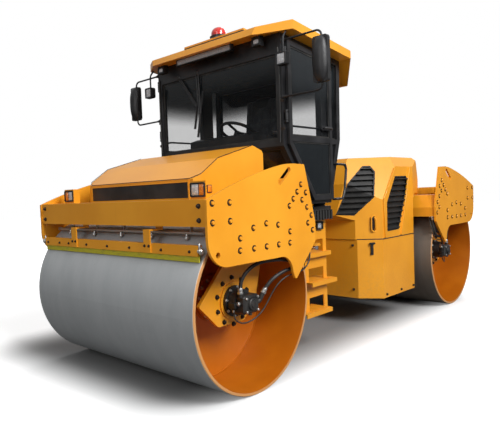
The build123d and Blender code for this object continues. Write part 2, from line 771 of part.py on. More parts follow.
def on_corner(face, depth_low, depth_high):
    """A face drawn along the hood's slanting front corner, carried square to it."""
    solid = across(face, depth_low, depth_high)
    return Pos(*HOOD_CORNER, 0) * Rot(0, 0, -CORNER_TURN) * solid


def corner_outline(grow):
    face = sharp([(-s, z) for s, z in CORNER_LOUVRE])
    return offset(face, amount=grow, kind=Kind.INTERSECTION) if grow else face


def side_outline(grow):
    face = sharp(SIDE_LOUVRE)
    return offset(face, amount=grow, kind=Kind.INTERSECTION) if grow else face


def grille_openings():
    cuts = on_corner(corner_outline(0), -260, 60)
    cuts += across(side_outline(0), BODY_HALF - 60, BODY_HALF + 60)
    return cuts


def engine_hood():
    """Tilting hood over the engine: a folded shell with chamfered corners and four grille openings."""
    hood = hood_form(0) - hood_form(PANEL)
    underside = upright(inset(HOOD_PLAN, PANEL), 900, HOOD_FLOOR + PANEL + 1)
    hood -= underside & block(HOOD_REAR + PANEL, BODY_REAR + PANEL, -1000, 1000, 900, HOOD_FLOOR + PANEL + 1)
    hood -= grille_openings()
    hood -= right(grille_openings())
    for side in (1, -1):
        y = side * HOOD_HINGE_Y
        arm = sharp([(-1590, 1478), (-1590, 1522), (-1550, 1560), (-1550, 1482)])
        hood += across(arm, y - 20, y + 20)
        hood += rod_y(*HOOD_HINGE, 30, y - 20, y + 20)
        hood -= rod_y(*HOOD_HINGE, HOOD_PIN + RUN_FIT, y - 21, y + 21)
    return hood


def hood_hinges():
    """Lugs on the rear cross member with the hood's two hinge pins."""
    hinges = []
    for side in (1, -1):
        y = side * HOOD_HINGE_Y
        hinge = rod_y(*HOOD_HINGE, HOOD_PIN, y - 45, y + 45)
        for low in (y - 45, y + 25):
            hinge += block(-1620, -1560, low, low + 20, 1430, 1500)
            hinge += rod_y(*HOOD_HINGE, 30, low, low + 20)
        hinges.append(hinge)
    return hinges


BLADE_PITCH = 62


def grille(face, place, low, high):
    """One grille: rim, blades that stand a little proud of the hood, and a backing screen, all one piece."""
    inner = place(offset(face, amount=-14, kind=Kind.INTERSECTION), low, high)
    whole = place(offset(face, amount=-1, kind=Kind.INTERSECTION), low, high)
    rim = (whole - inner) & (hood_form(2) - hood_form(30))
    screen = whole & (hood_form(26) - hood_form(30))
    blades = []
    z = face.bounding_box().min.Y + BLADE_PITCH / 2
    while z < face.bounding_box().max.Y - 10:
        blades.append(block(-1700, 200, 0, 1100, z - 6, z + 6))
        z += BLADE_PITCH
    blades = whole & (hood_form(-10) - hood_form(30)) & Compound(blades)
    return rim + screen + blades


def side_louvre():
    return grille(side_outline(0), across, BODY_HALF - 60, BODY_HALF + 60)


def corner_louvre():
    return grille(corner_outline(0), on_corner, -260, 60)


RAIL_RADIUS = 12


def grab_rail():
    """Bent tube at the rear edge of the cab's side."""
    y = 870
    route = [
        (440, CAB_HALF + SEAT, 1810), (440, y, 1810), (312, y, 1803), (292, y, 1760), (332, y, 1550),
        (372, y, 1462), (480, y, 1462), (480, CAB_HALF + SEAT, 1462),
    ]
    return pipe(route, [22, 20, 18, 60, 40, 22], RAIL_RADIUS)


PARTS = {}


def keep(name, shape):
    PARTS[name] = shape


for place, turn in (("front", lambda shape: shape), ("rear", rear)):
    keep(f"{place}_drum", turn(drum()))
    keep(f"{place}_side_plates", both(turn(side_plate())))
    keep(f"{place}_scraper_bar", turn(scraper_bar()))
    keep(f"{place}_scraper_blade", turn(scraper_blade()))
    keep(f"{place}_legs", both(turn(leg())))
    keep(f"{place}_motors", both(turn(motor())))
    for name in HOSES:
        keep(f"{place}_left_{name}_hose", turn(hose(name)))
        if name != "drain":
            keep(f"{place}_right_{name}_hose", right(turn(hose(name))))

keep("front_crossbeam", crossbeam())
keep("rear_crossbeam", rear(crossbeam() + headlight() + right(headlight())))
keep("front_cross_member", cross_member())
keep("rear_cross_member", rear_cross_member() + hood_hinges())
keep("front_water_tank", water_tank())
keep("rear_water_tank", rear_tank())
keep("front_headlights", both(headlight()))
keep("front_chassis", chassis())
keep("articulation_link", articulation_link())
keep("steering_barrel", steering_barrel())
keep("steering_rod", steering_rod())
keep("cab_platform", cab_platform())
keep("entry_steps", both(entry_step()))
keep("ladders", both(ladder()))

keep("cab_frame", Compound([cab_frame(), *both(grab_rail()).solids()]))
keep("cab_floor", cab_floor() + cab_rear_panel())
keep("windscreen", windscreen())
keep("cab_windows", Compound([toe_glass(), rear_window(), *both(quarter_glass()).solids()]))
keep("cab_roof", Compound([roof(), roof_hatch()]))
keep("beacon", beacon())
keep("roof_lights", Compound([light_bar(), *roof_lamps().solids()]))
keep("mirrors", both(mirror_arm() + mirror_head()))
keep("seat_base", seat_base())
keep("seat_cushion", seat_cushion())
keep("seat_backrest", seat_backrest())
keep("dashboard", dashboard())
keep("steering_wheel", steering_wheel() - dashboard())
keep("door_hinges", both(door_hinges()))
for side, place in (("left", lambda shape: shape), ("right", right)):
    keep(f"{side}_door_frame", place(door_frame()))
    keep(f"{side}_door_glass", place(door_glass()))

keep("rear_lower_body", lower_body())
keep("engine", engine())
keep("engine_hood", engine_hood())
keep("engine_grilles", Compound([*both(side_louvre()).solids(), *both(corner_louvre()).solids()]))

os.makedirs("parts", exist_ok=True)
for name, shape in PARTS.items():
    export_step(shape, f"parts/{name}.step")
print(len(PARTS), "pieces")
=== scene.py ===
import math

import bpy
import numpy as np
from mathutils import Matrix


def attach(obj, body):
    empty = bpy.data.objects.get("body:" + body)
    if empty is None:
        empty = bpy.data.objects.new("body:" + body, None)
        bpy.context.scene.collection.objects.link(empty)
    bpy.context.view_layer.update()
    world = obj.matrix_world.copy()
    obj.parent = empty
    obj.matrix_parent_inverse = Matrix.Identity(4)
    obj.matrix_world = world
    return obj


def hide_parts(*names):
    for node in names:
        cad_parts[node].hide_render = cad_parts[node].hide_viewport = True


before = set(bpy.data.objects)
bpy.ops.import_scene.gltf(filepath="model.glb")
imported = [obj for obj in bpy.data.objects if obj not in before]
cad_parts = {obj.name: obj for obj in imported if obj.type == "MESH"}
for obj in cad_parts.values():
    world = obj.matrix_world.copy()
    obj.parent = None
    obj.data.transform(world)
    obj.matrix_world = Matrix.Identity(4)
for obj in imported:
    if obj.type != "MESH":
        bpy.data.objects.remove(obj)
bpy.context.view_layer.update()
scene = bpy.context.scene
scene.view_settings.view_transform = "Standard"


# ---- Camera ----
# It stands beyond the front drum's left end, a little above the drums' tops, and looks
# across the nose towards the rear body, tipped slightly down.
CAMERA_STAND = (5.2266, 3.5770, 1.5669)
heading, pitch, roll = -2.32639, -0.04978, -0.04222
forward = np.array([
    math.cos(heading) * math.cos(pitch), math.sin(heading) * math.cos(pitch), math.sin(pitch),
])
level = np.cross(forward, (0, 0, 1))
level = level / np.linalg.norm(level)
upward = np.cross(level, forward)
across_view = math.cos(roll) * level + math.sin(roll) * upward
up_view = math.cos(roll) * upward - math.sin(roll) * level
camera_data = bpy.data.cameras.new("camera")
camera_data.lens = 37.74
camera_data.shift_x = 0.1445
camera_data.shift_y = -0.0025
camera = bpy.data.objects.new("camera", camera_data)
columns = zip(across_view, up_view, -forward, CAMERA_STAND)
camera.matrix_world = Matrix([*columns, (0, 0, 0, 1)])
scene.collection.objects.link(camera)
scene.camera = camera


# ---- Yard floor and studio light ----
# A wide floor that keeps the machine's shadow, pale to the camera and dark grey to other light,
# its colour darkened round the machine's footprint as a painted shadow; an even sky, a large soft
# lamp high on the machine's left, a weak one in front of it and one behind it.
class Wire:
    """One output socket of a material's nodes; sums and products of Wires add Math nodes."""

    def __init__(self, tree, socket):
        self.tree = tree
        self.socket = socket

    def node(self, kind, inputs, output=0, stops=None, **settings):
        """Any node: settings and a ramp's stops come first, then each input is linked or set."""
        made = self.tree.nodes.new("ShaderNode" + kind)
        for key, value in settings.items():
            setattr(made, key, value)
        for index, (place, colour) in enumerate(stops or []):
            ramp = made.color_ramp.elements
            element = ramp[index] if index < len(ramp) else ramp.new(place)
            element.position = place
            element.color = (*colour, 1)
        for key, value in inputs.items():
            if isinstance(value, Wire):
                self.tree.links.new(value.socket, made.inputs[key])
            elif isinstance(value, tuple) and made.inputs[key].type == "RGBA":
                made.inputs[key].default_value = (*value, 1)
            else:
                made.inputs[key].default_value = value
        return Wire(self.tree, made.outputs[output])

    def maths(self, operation, first, second=0.0):
        return self.node("Math", {0: first, 1: second}, operation=operation)

    __add__ = __radd__ = lambda self, other: self.maths("ADD", self, other)
    __sub__ = lambda self, other: self.maths("SUBTRACT", self, other)
    __rsub__ = lambda self, other: self.maths("SUBTRACT", other, self)
    __mul__ = __rmul__ = lambda self, other: self.maths("MULTIPLY", self, other)
    __pow__ = lambda self, other: self.maths("POWER", self, other)
    __abs__ = lambda self: self.maths("ABSOLUTE", self)

    def most(self, other):
        return self.maths("MAXIMUM", self, other)

    def wave(self, turns):
        """Sine of this value times the turns."""
        return self.maths("SINE", self * turns)

    def rise(self, low, high):
        """0 below low, 1 above high, smooth between."""
        limits = {0: self, 1: low, 2: high}
        return self.node("MapRange", limits, interpolation_type="SMOOTHSTEP")

    def blend(self, without, with_it):
        """Colour mix with this value as the factor."""
        return self.node("Mix", {0: self, 6: without, 7: with_it}, output=2, data_type="RGBA")

    def parts(self):
        """The x, y and z of a vector."""
        return [self.node("SeparateXYZ", {0: self}, output=i) for i in range(3)]

    def noise(self, scale, detail=3.0, roughness=0.5):
        """Cloudy value about 0.5, at the scale in turns a metre."""
        looks = {"Vector": self, "Scale": scale, "Detail": detail, "Roughness": roughness}
        return self.node("TexNoise", looks)

    def stretch(self, x, y, z):
        """This position with each axis scaled."""
        return self.node("VectorMath", {0: self, 1: (x, y, z)}, operation="MULTIPLY")

    def bump(self, strength, distance):
        """Normal from this height."""
        return self.node("Bump", {"Height": self, "Strength": strength, "Distance": distance})


def finish(name, **constants):
    """New material: it, its object position, and a function that feeds the shader's inputs."""
    material = bpy.data.materials.new(name)
    material.use_nodes = True
    tree = material.node_tree
    shader = tree.nodes["Principled BSDF"]
    for key, value in constants.items():
        shader.inputs[key.replace("_", " ")].default_value = value
    place = Wire(tree, tree.nodes.new("ShaderNodeTexCoord").outputs["Object"])

    def feed(**wires):
        for key, wire in wires.items():
            tree.links.new(wire.socket, shader.inputs[key.replace("_", " ")])
    return material, place, feed


def put(name, solid, material, body="front_frame", smooth=True, bevel=0.0):
    """Object from (points, faces) that rides on a body, shaded round except over sharp edges."""
    points, faces = solid
    mesh = bpy.data.meshes.new(name)
    mesh.from_pydata(np.asarray(points, float).tolist(), [], [[int(i) for i in face] for face in faces])
    mesh.validate()
    if smooth:
        mesh.shade_smooth()
        mesh.set_sharp_from_angle(angle=0.6)
    mesh.materials.append(material)
    piece = bpy.data.objects.new(name, mesh)
    scene.collection.objects.link(piece)
    if bevel:
        edge = piece.modifiers.new("edge", "BEVEL")
        edge.width = bevel
        edge.segments = 2
        edge.limit_method = "ANGLE"
        edge.angle_limit = 0.7
    if body:
        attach(piece, body)
    return piece


FLOOR_REACH = 40
# Half length, half width and sideways offset of the rectangle round the machine where the floor carries a
# painted shadow.
SHADOW_HALF_LENGTH, SHADOW_HALF_WIDTH, SHADOW_TO_RIGHT = 2.35, 0.90, 0.45   # the shade that the machine stands in
floor_white, place, feed = finish("floor_white", Roughness=0.9, Specular_IOR_Level=0.2, Emission_Strength=1.0)
x, y, z = place.parts()
apart_x = (abs(x) - SHADOW_HALF_LENGTH).most(0.0)
apart_y = (abs(y + SHADOW_TO_RIGHT) - SHADOW_HALF_WIDTH).most(0.0)
apart = (apart_x * apart_x + apart_y * apart_y) ** 0.5
seen = place.node("LightPath", {}, output="Is Camera Ray")
# Near the machine the floor's colour turns dark grey and its glow to the camera fades: a painted shadow.
clear_of_painted_shadow = apart.rise(0.0, 0.95)
glow = (clear_of_painted_shadow * clear_of_painted_shadow * 0.55 + apart.rise(2.0, 6.0) * 0.6) * seen
open_floor = place.noise(0.8, 2).blend((0.88, 0.88, 0.88), (0.92, 0.92, 0.92))
floor_with_painted_shadow = clear_of_painted_shadow.blend((0.22, 0.22, 0.22), open_floor)
feed(
    Base_Color=seen.blend((0.16, 0.16, 0.16), floor_with_painted_shadow),
    Emission_Color=glow.blend((0.0, 0.0, 0.0), (1.0, 1.0, 1.0)),
)
corners = [(a * FLOOR_REACH, b * FLOOR_REACH, 0) for a, b in ((-1, -1), (1, -1), (1, 1), (-1, 1))]
floor = put("floor", (corners, [(0, 1, 2, 3)]), floor_white, None, smooth=False)

world = bpy.data.worlds.new("sky")
scene.world = world
world.use_nodes = True
sky = Wire(world.node_tree, world.node_tree.nodes.new("ShaderNodeTexCoord").outputs["Generated"])
height = sky.parts()[2]
to_camera, to_gloss, to_glass = (
    sky.node("LightPath", {}, output=f"Is {kind} Ray") for kind in ("Camera", "Glossy", "Transmission")
)
glossy = to_gloss * (0.14 + 0.70 * height.rise(0.0, 0.6))
strength = to_camera.most(to_glass).most(glossy.most((1 - to_gloss) * 0.25))
background = world.node_tree.nodes["Background"]
background.inputs["Color"].default_value = (1, 1, 1, 1)
world.node_tree.links.new(strength.socket, background.inputs["Strength"])


def axes_for(direction):
    """Three unit vectors: two square to the direction, then the direction itself."""
    w = np.asarray(direction, float)
    w = w / np.linalg.norm(w)
    helper = np.array([0.0, 0.0, 1.0]) if abs(w[2]) < 0.9 else np.array([1.0, 0.0, 0.0])
    u = np.cross(helper, w)
    u = u / np.linalg.norm(u)
    return u, np.cross(w, u), w


for name, stand, aim, size, power in (
    ("side_key", (2.5, 9.0, 7.5), (0, 0, 1.2), 4.5, 1430),
    ("front_fill", (9.0, 2.0, 4.0), (1, 0, 1.0), 4.0, 150),
    ("back_rim", (-7.0, -4.0, 6.0), (0, 0, 1.0), 4.0, 330),
):
    lamp = bpy.data.lights.new(name, "AREA")
    lamp.size = size
    lamp.energy = power
    holder = bpy.data.objects.new(name, lamp)
    u, v, w = axes_for(np.subtract(stand, aim))
    holder.matrix_world = Matrix([*zip(u, v, w, stand), (0, 0, 0, 1)])
    scene.collection.objects.link(holder)


# ---- Motor hoses ----
# Rubber pressure hoses with a crimped steel sleeve and nut at the motor. They hang from under
# the cross member, pass between the drum's end and the side plate, and curve in to the hub.
def mottled(name, dark, light, cloud, grain=None, edges=None, share=1.0, rough=(0.4, 0.2), rough_by=0,
            relief=None, scale=None, **constants):
    """Two tones mixed by a cloud, a fine grain in relief; rough is a base and a share of either."""
    material, place, feed = finish(name, **constants)
    place = place.stretch(*scale) if scale else place
    clouds = [place.noise(*cloud)]
    clouds.append(place.noise(*grain) if grain else clouds[0])
    mix = clouds[0].rise(*edges) if edges else clouds[0]
    mix = mix * share if share < 1 else mix
    feed(Base_Color=mix.blend(dark, light), Roughness=rough[0] + rough[1] * clouds[rough_by])
    if relief:
        feed(Normal=clouds[1].bump(*relief))
    return material


rubber = mottled(
    "hose_rubber", (0.010, 0.010, 0.010), (0.040, 0.037, 0.033), (9, 4), (260, 4, 0.7), (0.35, 0.75),
    rough=(0.38, 0.28), rough_by=1, relief=(0.3, 0.0006), Specular_IOR_Level=0.45)
sleeve_steel = mottled(
    "sleeve_steel", (0.42, 0.42, 0.41), (0.66, 0.66, 0.64), (1.0, 4, 0.6), rough=(0.22, 0.25),
    relief=(0.15, 0.0006), scale=(90, 90, 90), Metallic=0.9)

DRUM_X = 2.053
YOKES = (("front", "front_frame", 1), ("rear", "rear_frame", -1))
SIDES = (("left", 1), ("right", -1))


def yoke_place(points, end, side=1):
    """Points from a yoke's own place, x outward from its drum, to the machine's; side -1 is right."""
    return (np.asarray(points, float) + (DRUM_X, 0, 0)) * (end, side, 1)


def as_built(solid, end, side=1):
    """A solid drawn on the front left yoke, at the yoke and side asked for, its faces outward."""
    points, faces = solid
    placed = yoke_place(points, end, side)
    return placed, [face[::-1] for face in faces] if end * side < 0 else faces


def join(*solids):
    """Points and faces of many solids as one, each solid's faces shifted by the points before it."""
    points, faces, count = [], [], 0
    for solid_points, solid_faces in solids:
        points.append(np.asarray(solid_points, float))
        faces += [[count + i for i in face] for face in solid_faces]
        count += len(solid_points)
    return np.concatenate(points), faces


def grid_faces(rows, columns, closed=True):
    """Quads between neighbours of a grid stored row by row; closed joins last column to first."""
    row = np.arange(rows - 1)[:, None]
    column = np.arange(columns if closed else columns - 1)[None, :]
    beside = (column + 1) % columns
    here, above = row * columns, (row + 1) * columns
    quads = np.stack([here + column, here + beside, above + beside, above + column], axis=-1)
    return quads.reshape(-1, 4).tolist()


def turned(centre, direction, profile, sides=24):
    """Turned solid: each (height, radius) of the profile is a ring round the axis, ends closed."""
    u, v, w = axes_for(direction)
    turn = np.linspace(0, 2 * np.pi, sides, endpoint=False)
    height, radius = np.asarray(profile, float).T
    ring = np.cos(turn)[:, None] * u + np.sin(turn)[:, None] * v
    points = (np.asarray(centre) + height[:, None, None] * w + radius[:, None, None] * ring).reshape(-1, 3)
    ends = [list(range(sides))[::-1], list(range((len(height) - 1) * sides, len(height) * sides))]
    return points, grid_faces(len(height), sides) + ends


def on_yokes(name, material, paired=(), middle=(), **settings):
    """A piece on each yoke, of solids drawn on the front left one: paired on both sides, middle once."""
    for end_name, body, end in YOKES:
        solids = [as_built(solid, end, side) for _, side in SIDES for solid in paired]
        solids += [as_built(solid, end) for solid in middle]
        chosen = material[end_name] if isinstance(material, dict) else material
        put(f"{end_name}_{name}", join(*solids), chosen, body, **settings)


HOSE_BORE = {"pressure": 0.015, "return": 0.015, "drain": 0.006}
HOSE_ROUTE = {
    "pressure": [
        (-0.672, 1.0865, 1.180), (-0.672, 1.0865, 1.113), (-0.6454, 1.0865, 1.049), (-0.596, 1.0865, 0.9996),
        (-0.532, 1.0865, 0.973), (-0.470, 1.0865, 0.9725), (-0.392, 1.084, 1.000), (-0.300, 1.076, 1.014),
        (-0.211, 1.060, 1.019), (-0.131, 1.043, 1.018), (-0.054, 1.024, 1.006), (0.006, 1.002, 0.974),
        (0.052, 0.978, 0.922), (0.074, 0.960, 0.856), (0.074, 0.960, 0.785),
    ],
    "return": [
        (-0.706, 1.0865, 1.180), (-0.706, 1.0865, 1.105), (-0.684, 1.0865, 1.034), (-0.640, 1.0865, 0.974),
        (-0.577, 1.0865, 0.934), (-0.500, 1.0865, 0.922), (-0.395, 1.081, 0.925), (-0.288, 1.052, 0.892),
        (-0.202, 1.010, 0.823), (-0.176, 0.9875, 0.7565),
    ],
    "drain": [
        (-0.702, 1.052, 1.180), (-0.702, 1.052, 1.130), (-0.714, 1.062, 1.080), (-0.716, 1.086, 1.028),
        (-0.700, 1.091, 0.972), (-0.662, 1.091, 0.926), (-0.606, 1.091, 0.896), (-0.540, 1.090, 0.884),
        (-0.472, 1.089, 0.880), (-0.405, 1.086, 0.876), (-0.337, 1.067, 0.852), (-0.282, 1.046, 0.806),
        (-0.240, 1.024, 0.742), (-0.206, 1.006, 0.678), (-0.166, 0.993, 0.622), (-0.115, 0.981, 0.580),
        (-0.056, 0.970, 0.555), (0.002, 0.957, 0.541), (0.052, 0.942, 0.543), (0.090, 0.926, 0.565),
        (0.111, 0.915, 0.605), (0.111, 0.915, 0.655),
    ],
}
for end_name, body, end in YOKES:
    for side_name, side in SIDES:
        for kind, route in HOSE_ROUTE.items():
            node = f"{end_name}_{side_name}_{kind}_hose"
            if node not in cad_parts:
                continue
            line = yoke_place(route, end, side)
            bore = HOSE_BORE[kind]
            curve = bpy.data.curves.new(node + "_line", "CURVE")
            curve.dimensions = "3D"
            curve.bevel_depth = bore
            curve.bevel_resolution = 5
            curve.resolution_u = 8
            curve.use_fill_caps = True
            spline = curve.splines.new("NURBS")
            spline.points.add(len(line) - 1)
            spline.points.foreach_set("co", np.c_[line, np.ones(len(line))].ravel())
            spline.order_u = 3
            spline.use_endpoint_u = True
            curve.materials.append(rubber)
            cord = bpy.data.objects.new(node + "_cord", curve)
            scene.collection.objects.link(cord)
            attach(cord, body)
            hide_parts(node)
            sleeves = []
            for tip, inward in ((line[0], line[1] - line[0]), (line[-1], line[-2] - line[-1])):
                grip = bore * 1.28
                sleeves.append(turned(tip, inward, [
                    (-0.004, grip), (bore * 0.9, grip), (bore, grip * 0.9), (bore * 1.2, grip * 0.9),
                    (bore * 1.3, grip), (bore * 2.6, grip), (bore * 2.8, grip * 0.92),
                ], 20))
                sleeves.append(turned(tip, inward, [
                    (-0.004, bore * 1.45), (bore * 0.1, bore * 1.58), (bore * 0.75, bore * 1.58),
                    (bore * 0.85, bore * 1.4),
                ], 6))
            fitting = put(node + "_sleeves", join(*sleeves), sleeve_steel, body)


# ---- Drums ----
# Rolled steel shells, machined outside and marked by rust and wear along the rolling direction,
# painted inside in the machine's orange made darker as painted shade, with a welded bulkhead
# whose hub plate is held by a ring of bolts.
def dress(material, *nodes):
    """Gives carried CAD nodes this material."""
    for node in nodes:
        for slot in bpy.data.objects[node].material_slots:
            slot.material = material


def bolt(centre, direction, size, plate=True):
    """Hexagon bolt head of that width, with a washer under it if it has a plate."""
    head = turned(np.asarray(centre) + np.asarray(direction, float) * size * 0.14, direction, [
        (0, size * 0.56), (size * 0.52, size * 0.56), (size * 0.62, size * 0.47),
    ], 6)
    washer = turned(centre, direction, [(-0.001, size * 0.78), (size * 0.14, size * 0.78)], 16)
    return join(head, washer) if plate else head


# The inside enamel is the machine's orange made darker and redder: painted shade inside the drum.
SHADED_ENAMEL_TONES = ((0.43, 0.110, 0.002), (0.50, 0.140, 0.003))
drum_enamel, place, feed = finish("drum_enamel", Coat_Weight=0.3, Coat_Roughness=0.12)
cloud = place.noise(3.0, 4)
speck = place.noise(60, 5, 0.7)
feed(
    Base_Color=(speck.rise(0.6, 0.8) * 0.4).blend(
        cloud.rise(0.3, 0.7).blend(*SHADED_ENAMEL_TONES), (0.26, 0.10, 0.02)),
    Roughness=0.36 + 0.12 * cloud,
    Normal=speck.bump(0.12, 0.001),
)
# The rear drum's bare steel is darker and browner than the front drum's.
BARE_STEEL = {
    "front": ((0.34, 0.36, 0.375), (0.52, 0.535, 0.54)),
    "rear": ((0.13, 0.10, 0.075), (0.27, 0.235, 0.20)),
}
HUB_HEIGHT = 0.7
for end_name, body, end in YOKES:
    steel, place, feed = finish(f"{end_name}_drum_steel", Specular_IOR_Level=0.5)
    x, y, z = place.parts()
    ahead, lift = x - end * DRUM_X, z - HUB_HEIGHT
    radius = (ahead * ahead + lift * lift) ** 0.5
    shell = radius.rise(0.6965, 0.6985)
    turn = ahead.maths("ARCTAN2", lift, ahead)
    rings = place.node("CombineXYZ", {0: turn * 0.35, 1: y * 60, 2: radius}).noise(1.0, 5, 0.65)
    smear = place.node("CombineXYZ", {0: turn * 1.2, 1: y * 5, 2: 0.0}).noise(1.0, 4, 0.6)
    spots = place.noise(30, 5, 0.7)
    bare = (0.35 * smear.rise(0.2, 0.8) + 0.25 * rings + 0.25).blend(*BARE_STEEL[end_name])
    bare = (spots.rise(0.62, 0.80) * 0.35).blend(bare, (0.19, 0.15, 0.11))
    cloud = place.noise(3.0, 4)
    enamel = cloud.rise(0.3, 0.7).blend(*SHADED_ENAMEL_TONES)
    rim = abs(y).rise(1.052, 1.058) * radius.rise(0.672, 0.676)
    feed(
        Base_Color=(rim * 0.45).blend(shell.blend(enamel, bare), (0.72, 0.47, 0.22)),
        Metallic=shell * 0.5,
        Roughness=shell * (0.16 + 0.12 * rings) + (0.36 + 0.1 * cloud),
        Normal=(shell * rings + 0.3 * cloud).bump(0.07, 0.0008),
    )
    dress(steel, f"{end_name}_drum")
    ring = np.arange(12) * math.pi / 6 + 0.13
    studs = [
        bolt((end * DRUM_X + 0.165 * math.cos(turn), side * 0.600, HUB_HEIGHT + 0.165 * math.sin(turn)),
             (0, side, 0), 0.024)
        for _, side in SIDES for turn in ring
    ]
    low, middle, high = 0.0012 * np.sin(np.arange(1, 4) * 1.9)
    welds = [
        turned((end * DRUM_X, side * reach, HUB_HEIGHT), (0, side, 0), [
            (-0.001, inner), (0.0105 + low, inner + 0.002), (0.0125 + middle, (inner + outer) / 2),
            (0.0105 + high, outer - 0.002), (-0.001, outer),
        ], 96)
        for _, side in SIDES for reach, inner, outer in ((0.560, 0.664, 0.6755), (0.5601, 0.190, 0.200))
    ]
    put(f"{end_name}_drum_studs", join(*studs), sleeve_steel, f"{end_name}_drum")
    put(f"{end_name}_drum_welds", join(*welds), drum_enamel, f"{end_name}_drum")


# ---- Yokes ----
# Two welded yokes of orange-painted plate: side plates, a box crossbeam on the nose, a slanting
# cross member and the drum legs, held together by rows of bolts through the side plates.
PAINT_TONES = ((0.76, 0.300, 0.012), (0.84, 0.352, 0.018))
paint, place, feed = finish("orange_paint", Coat_Weight=0.3, Coat_Roughness=0.24, Specular_IOR_Level=0.4)
x, y, z = place.parts()
cloud = place.noise(1.8, 4)
peel = place.noise(420, 2)
speck = place.noise(38, 6, 0.7)
dust = (1 - z.rise(0.25, 1.1)) * speck.rise(0.42, 0.70) * 0.25
streak = place.stretch(22, 22, 1.6).noise(1.0, 4, 0.6)
tone = cloud.rise(0.3, 0.7).blend(*PAINT_TONES)
tone = (streak.rise(0.6, 0.78) * 0.22).blend(tone, (0.60, 0.22, 0.02))
feed(
    Base_Color=dust.blend(tone, (0.46, 0.25, 0.08)),
    Roughness=0.34 + 0.12 * cloud + 0.35 * dust,
    Normal=peel.bump(0.06, 0.0006),
)
dress(paint, *[
    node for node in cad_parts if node.endswith((
        "side_plates", "crossbeam", "cross_member", "legs", "water_tank", "headlights", "chassis", "link",
        "scraper_bar", "ladders", "lower_body", "engine_hood",
    ))
])

dark_bolt = mottled(
    "dark_bolt_steel", (0.014, 0.010, 0.008), (0.080, 0.052, 0.034), (150, 4, 0.7), edges=(0.35, 0.8),
    rough=(0.42, 0.3), relief=(0.25, 0.0008), Metallic=0.5, Specular_IOR_Level=0.5)

PLATE_FACE = 1.135
PLATE_BOLTS = [
    (0.546, 1.502), (0.364, 1.500), (0.548, 1.367), (0.364, 1.367), (0.267, 1.148), (0.105, 1.148),
    (-0.049, 1.148), (-0.205, 1.148), (-0.356, 1.148), (0.262, 1.237), (0.106, 1.301), (-0.051, 1.324),
    (-0.203, 1.303), (-0.361, 1.238), (-0.533, 1.613), (-0.476, 1.554), (-0.419, 1.498), (-0.363, 1.444),
    (-0.601, 1.544), (-0.544, 1.486), (-0.612, 1.422), (-0.675, 1.352), (-0.621, 1.290), (-0.688, 1.226),
]
LEG_BOLT_FACE, LEG_RING = 0.810, 0.190
FOOT_BOLTS = [(0.590, y, z) for y in (-1.05, 1.05) for z in (1.385, 1.485)]
LEG_ANGLES = np.arange(10) * math.pi / 5 + 0.3
UP, AHEAD, LEFT = (0, 0, 1), (1, 0, 0), (0, 1, 0)
spots = [(along, PLATE_FACE, up) for along, up in PLATE_BOLTS]
on_yokes("plate_bolts", paint, [
    turned(spot, LEFT, [(0.003, 0.0145), (0.012, 0.0145), (0.0145, 0.0125)], 6) for spot in spots
])
# The plate bolts' dark washers, wider than the heads, make a dark ring that is partly a dark washer and
# partly painted shade in the gap round each head.
on_yokes("bolt_washers", dark_bolt, [
    *[turned(spot, LEFT, [(-0.001, 0.0245), (0.003, 0.0245)], 20) for spot in spots],
    *[bolt((LEG_RING * math.cos(turn), LEG_BOLT_FACE, HUB_HEIGHT + LEG_RING * math.sin(turn)), LEFT, 0.026)
      for turn in LEG_ANGLES],
], [bolt(spot, AHEAD, 0.024) for spot in FOOT_BOLTS])


def swept_area(outline):
    """Twice the signed area of a flat outline, over 0 when it runs from u to v."""
    u, v = np.asarray(outline, float).T
    return np.sum(u * np.roll(v, -1) - np.roll(u, -1) * v)


def prism(outline, low, high, frame_axes=(AHEAD, LEFT, UP), centre=(0, 0, 0)):
    """Flat outline (u, v) carried from low to high along the third axis."""
    u, v, w = np.array(frame_axes, float)
    flat = np.asarray(outline, float)
    if swept_area(flat) * np.dot(np.cross(u, v), w) < 0:
        flat = flat[::-1]
    base = np.asarray(centre) + flat[:, :1] * u + flat[:, 1:] * v
    points = np.concatenate([base + low * w, base + high * w])
    n = len(flat)
    faces = [list(range(n))[::-1], list(range(n, 2 * n))]
    faces += [[i, (i + 1) % n, n + (i + 1) % n, n + i] for i in range(n)]
    return points, faces


def box(x0, x1, y0, y1, z0, z1):
    """Closed box between two values on each axis."""
    return prism([(x0, y0), (x1, y0), (x1, y1), (x0, y1)], z0, z1)


def tube(path, radius, sides=12):
    """Round bar: a ring of that radius square to the path at each of its points, ends closed."""
    path = np.asarray(path, float)
    ahead = np.gradient(path, axis=0)
    ahead = ahead / np.linalg.norm(ahead, axis=1)[:, None]
    normal = np.empty_like(path)
    last = axes_for(ahead[0])[0]
    for index, direction in enumerate(ahead):
        last = last - np.dot(last, direction) * direction
        last = last / np.linalg.norm(last)
        normal[index] = last
    side = np.cross(ahead, normal)
    turn = np.linspace(0, 2 * np.pi, sides, endpoint=False)
    radii = np.broadcast_to(np.asarray(radius, float), (len(path),))
    ring = np.cos(turn)[None, :, None] * normal[:, None] + np.sin(turn)[None, :, None] * side[:, None]
    points = path[:, None] + radii[:, None, None] * ring
    ends = [list(range(sides))[::-1], list(range((len(path) - 1) * sides, len(path) * sides))]
    return points.reshape(-1, 3), grid_faces(len(path), sides) + ends


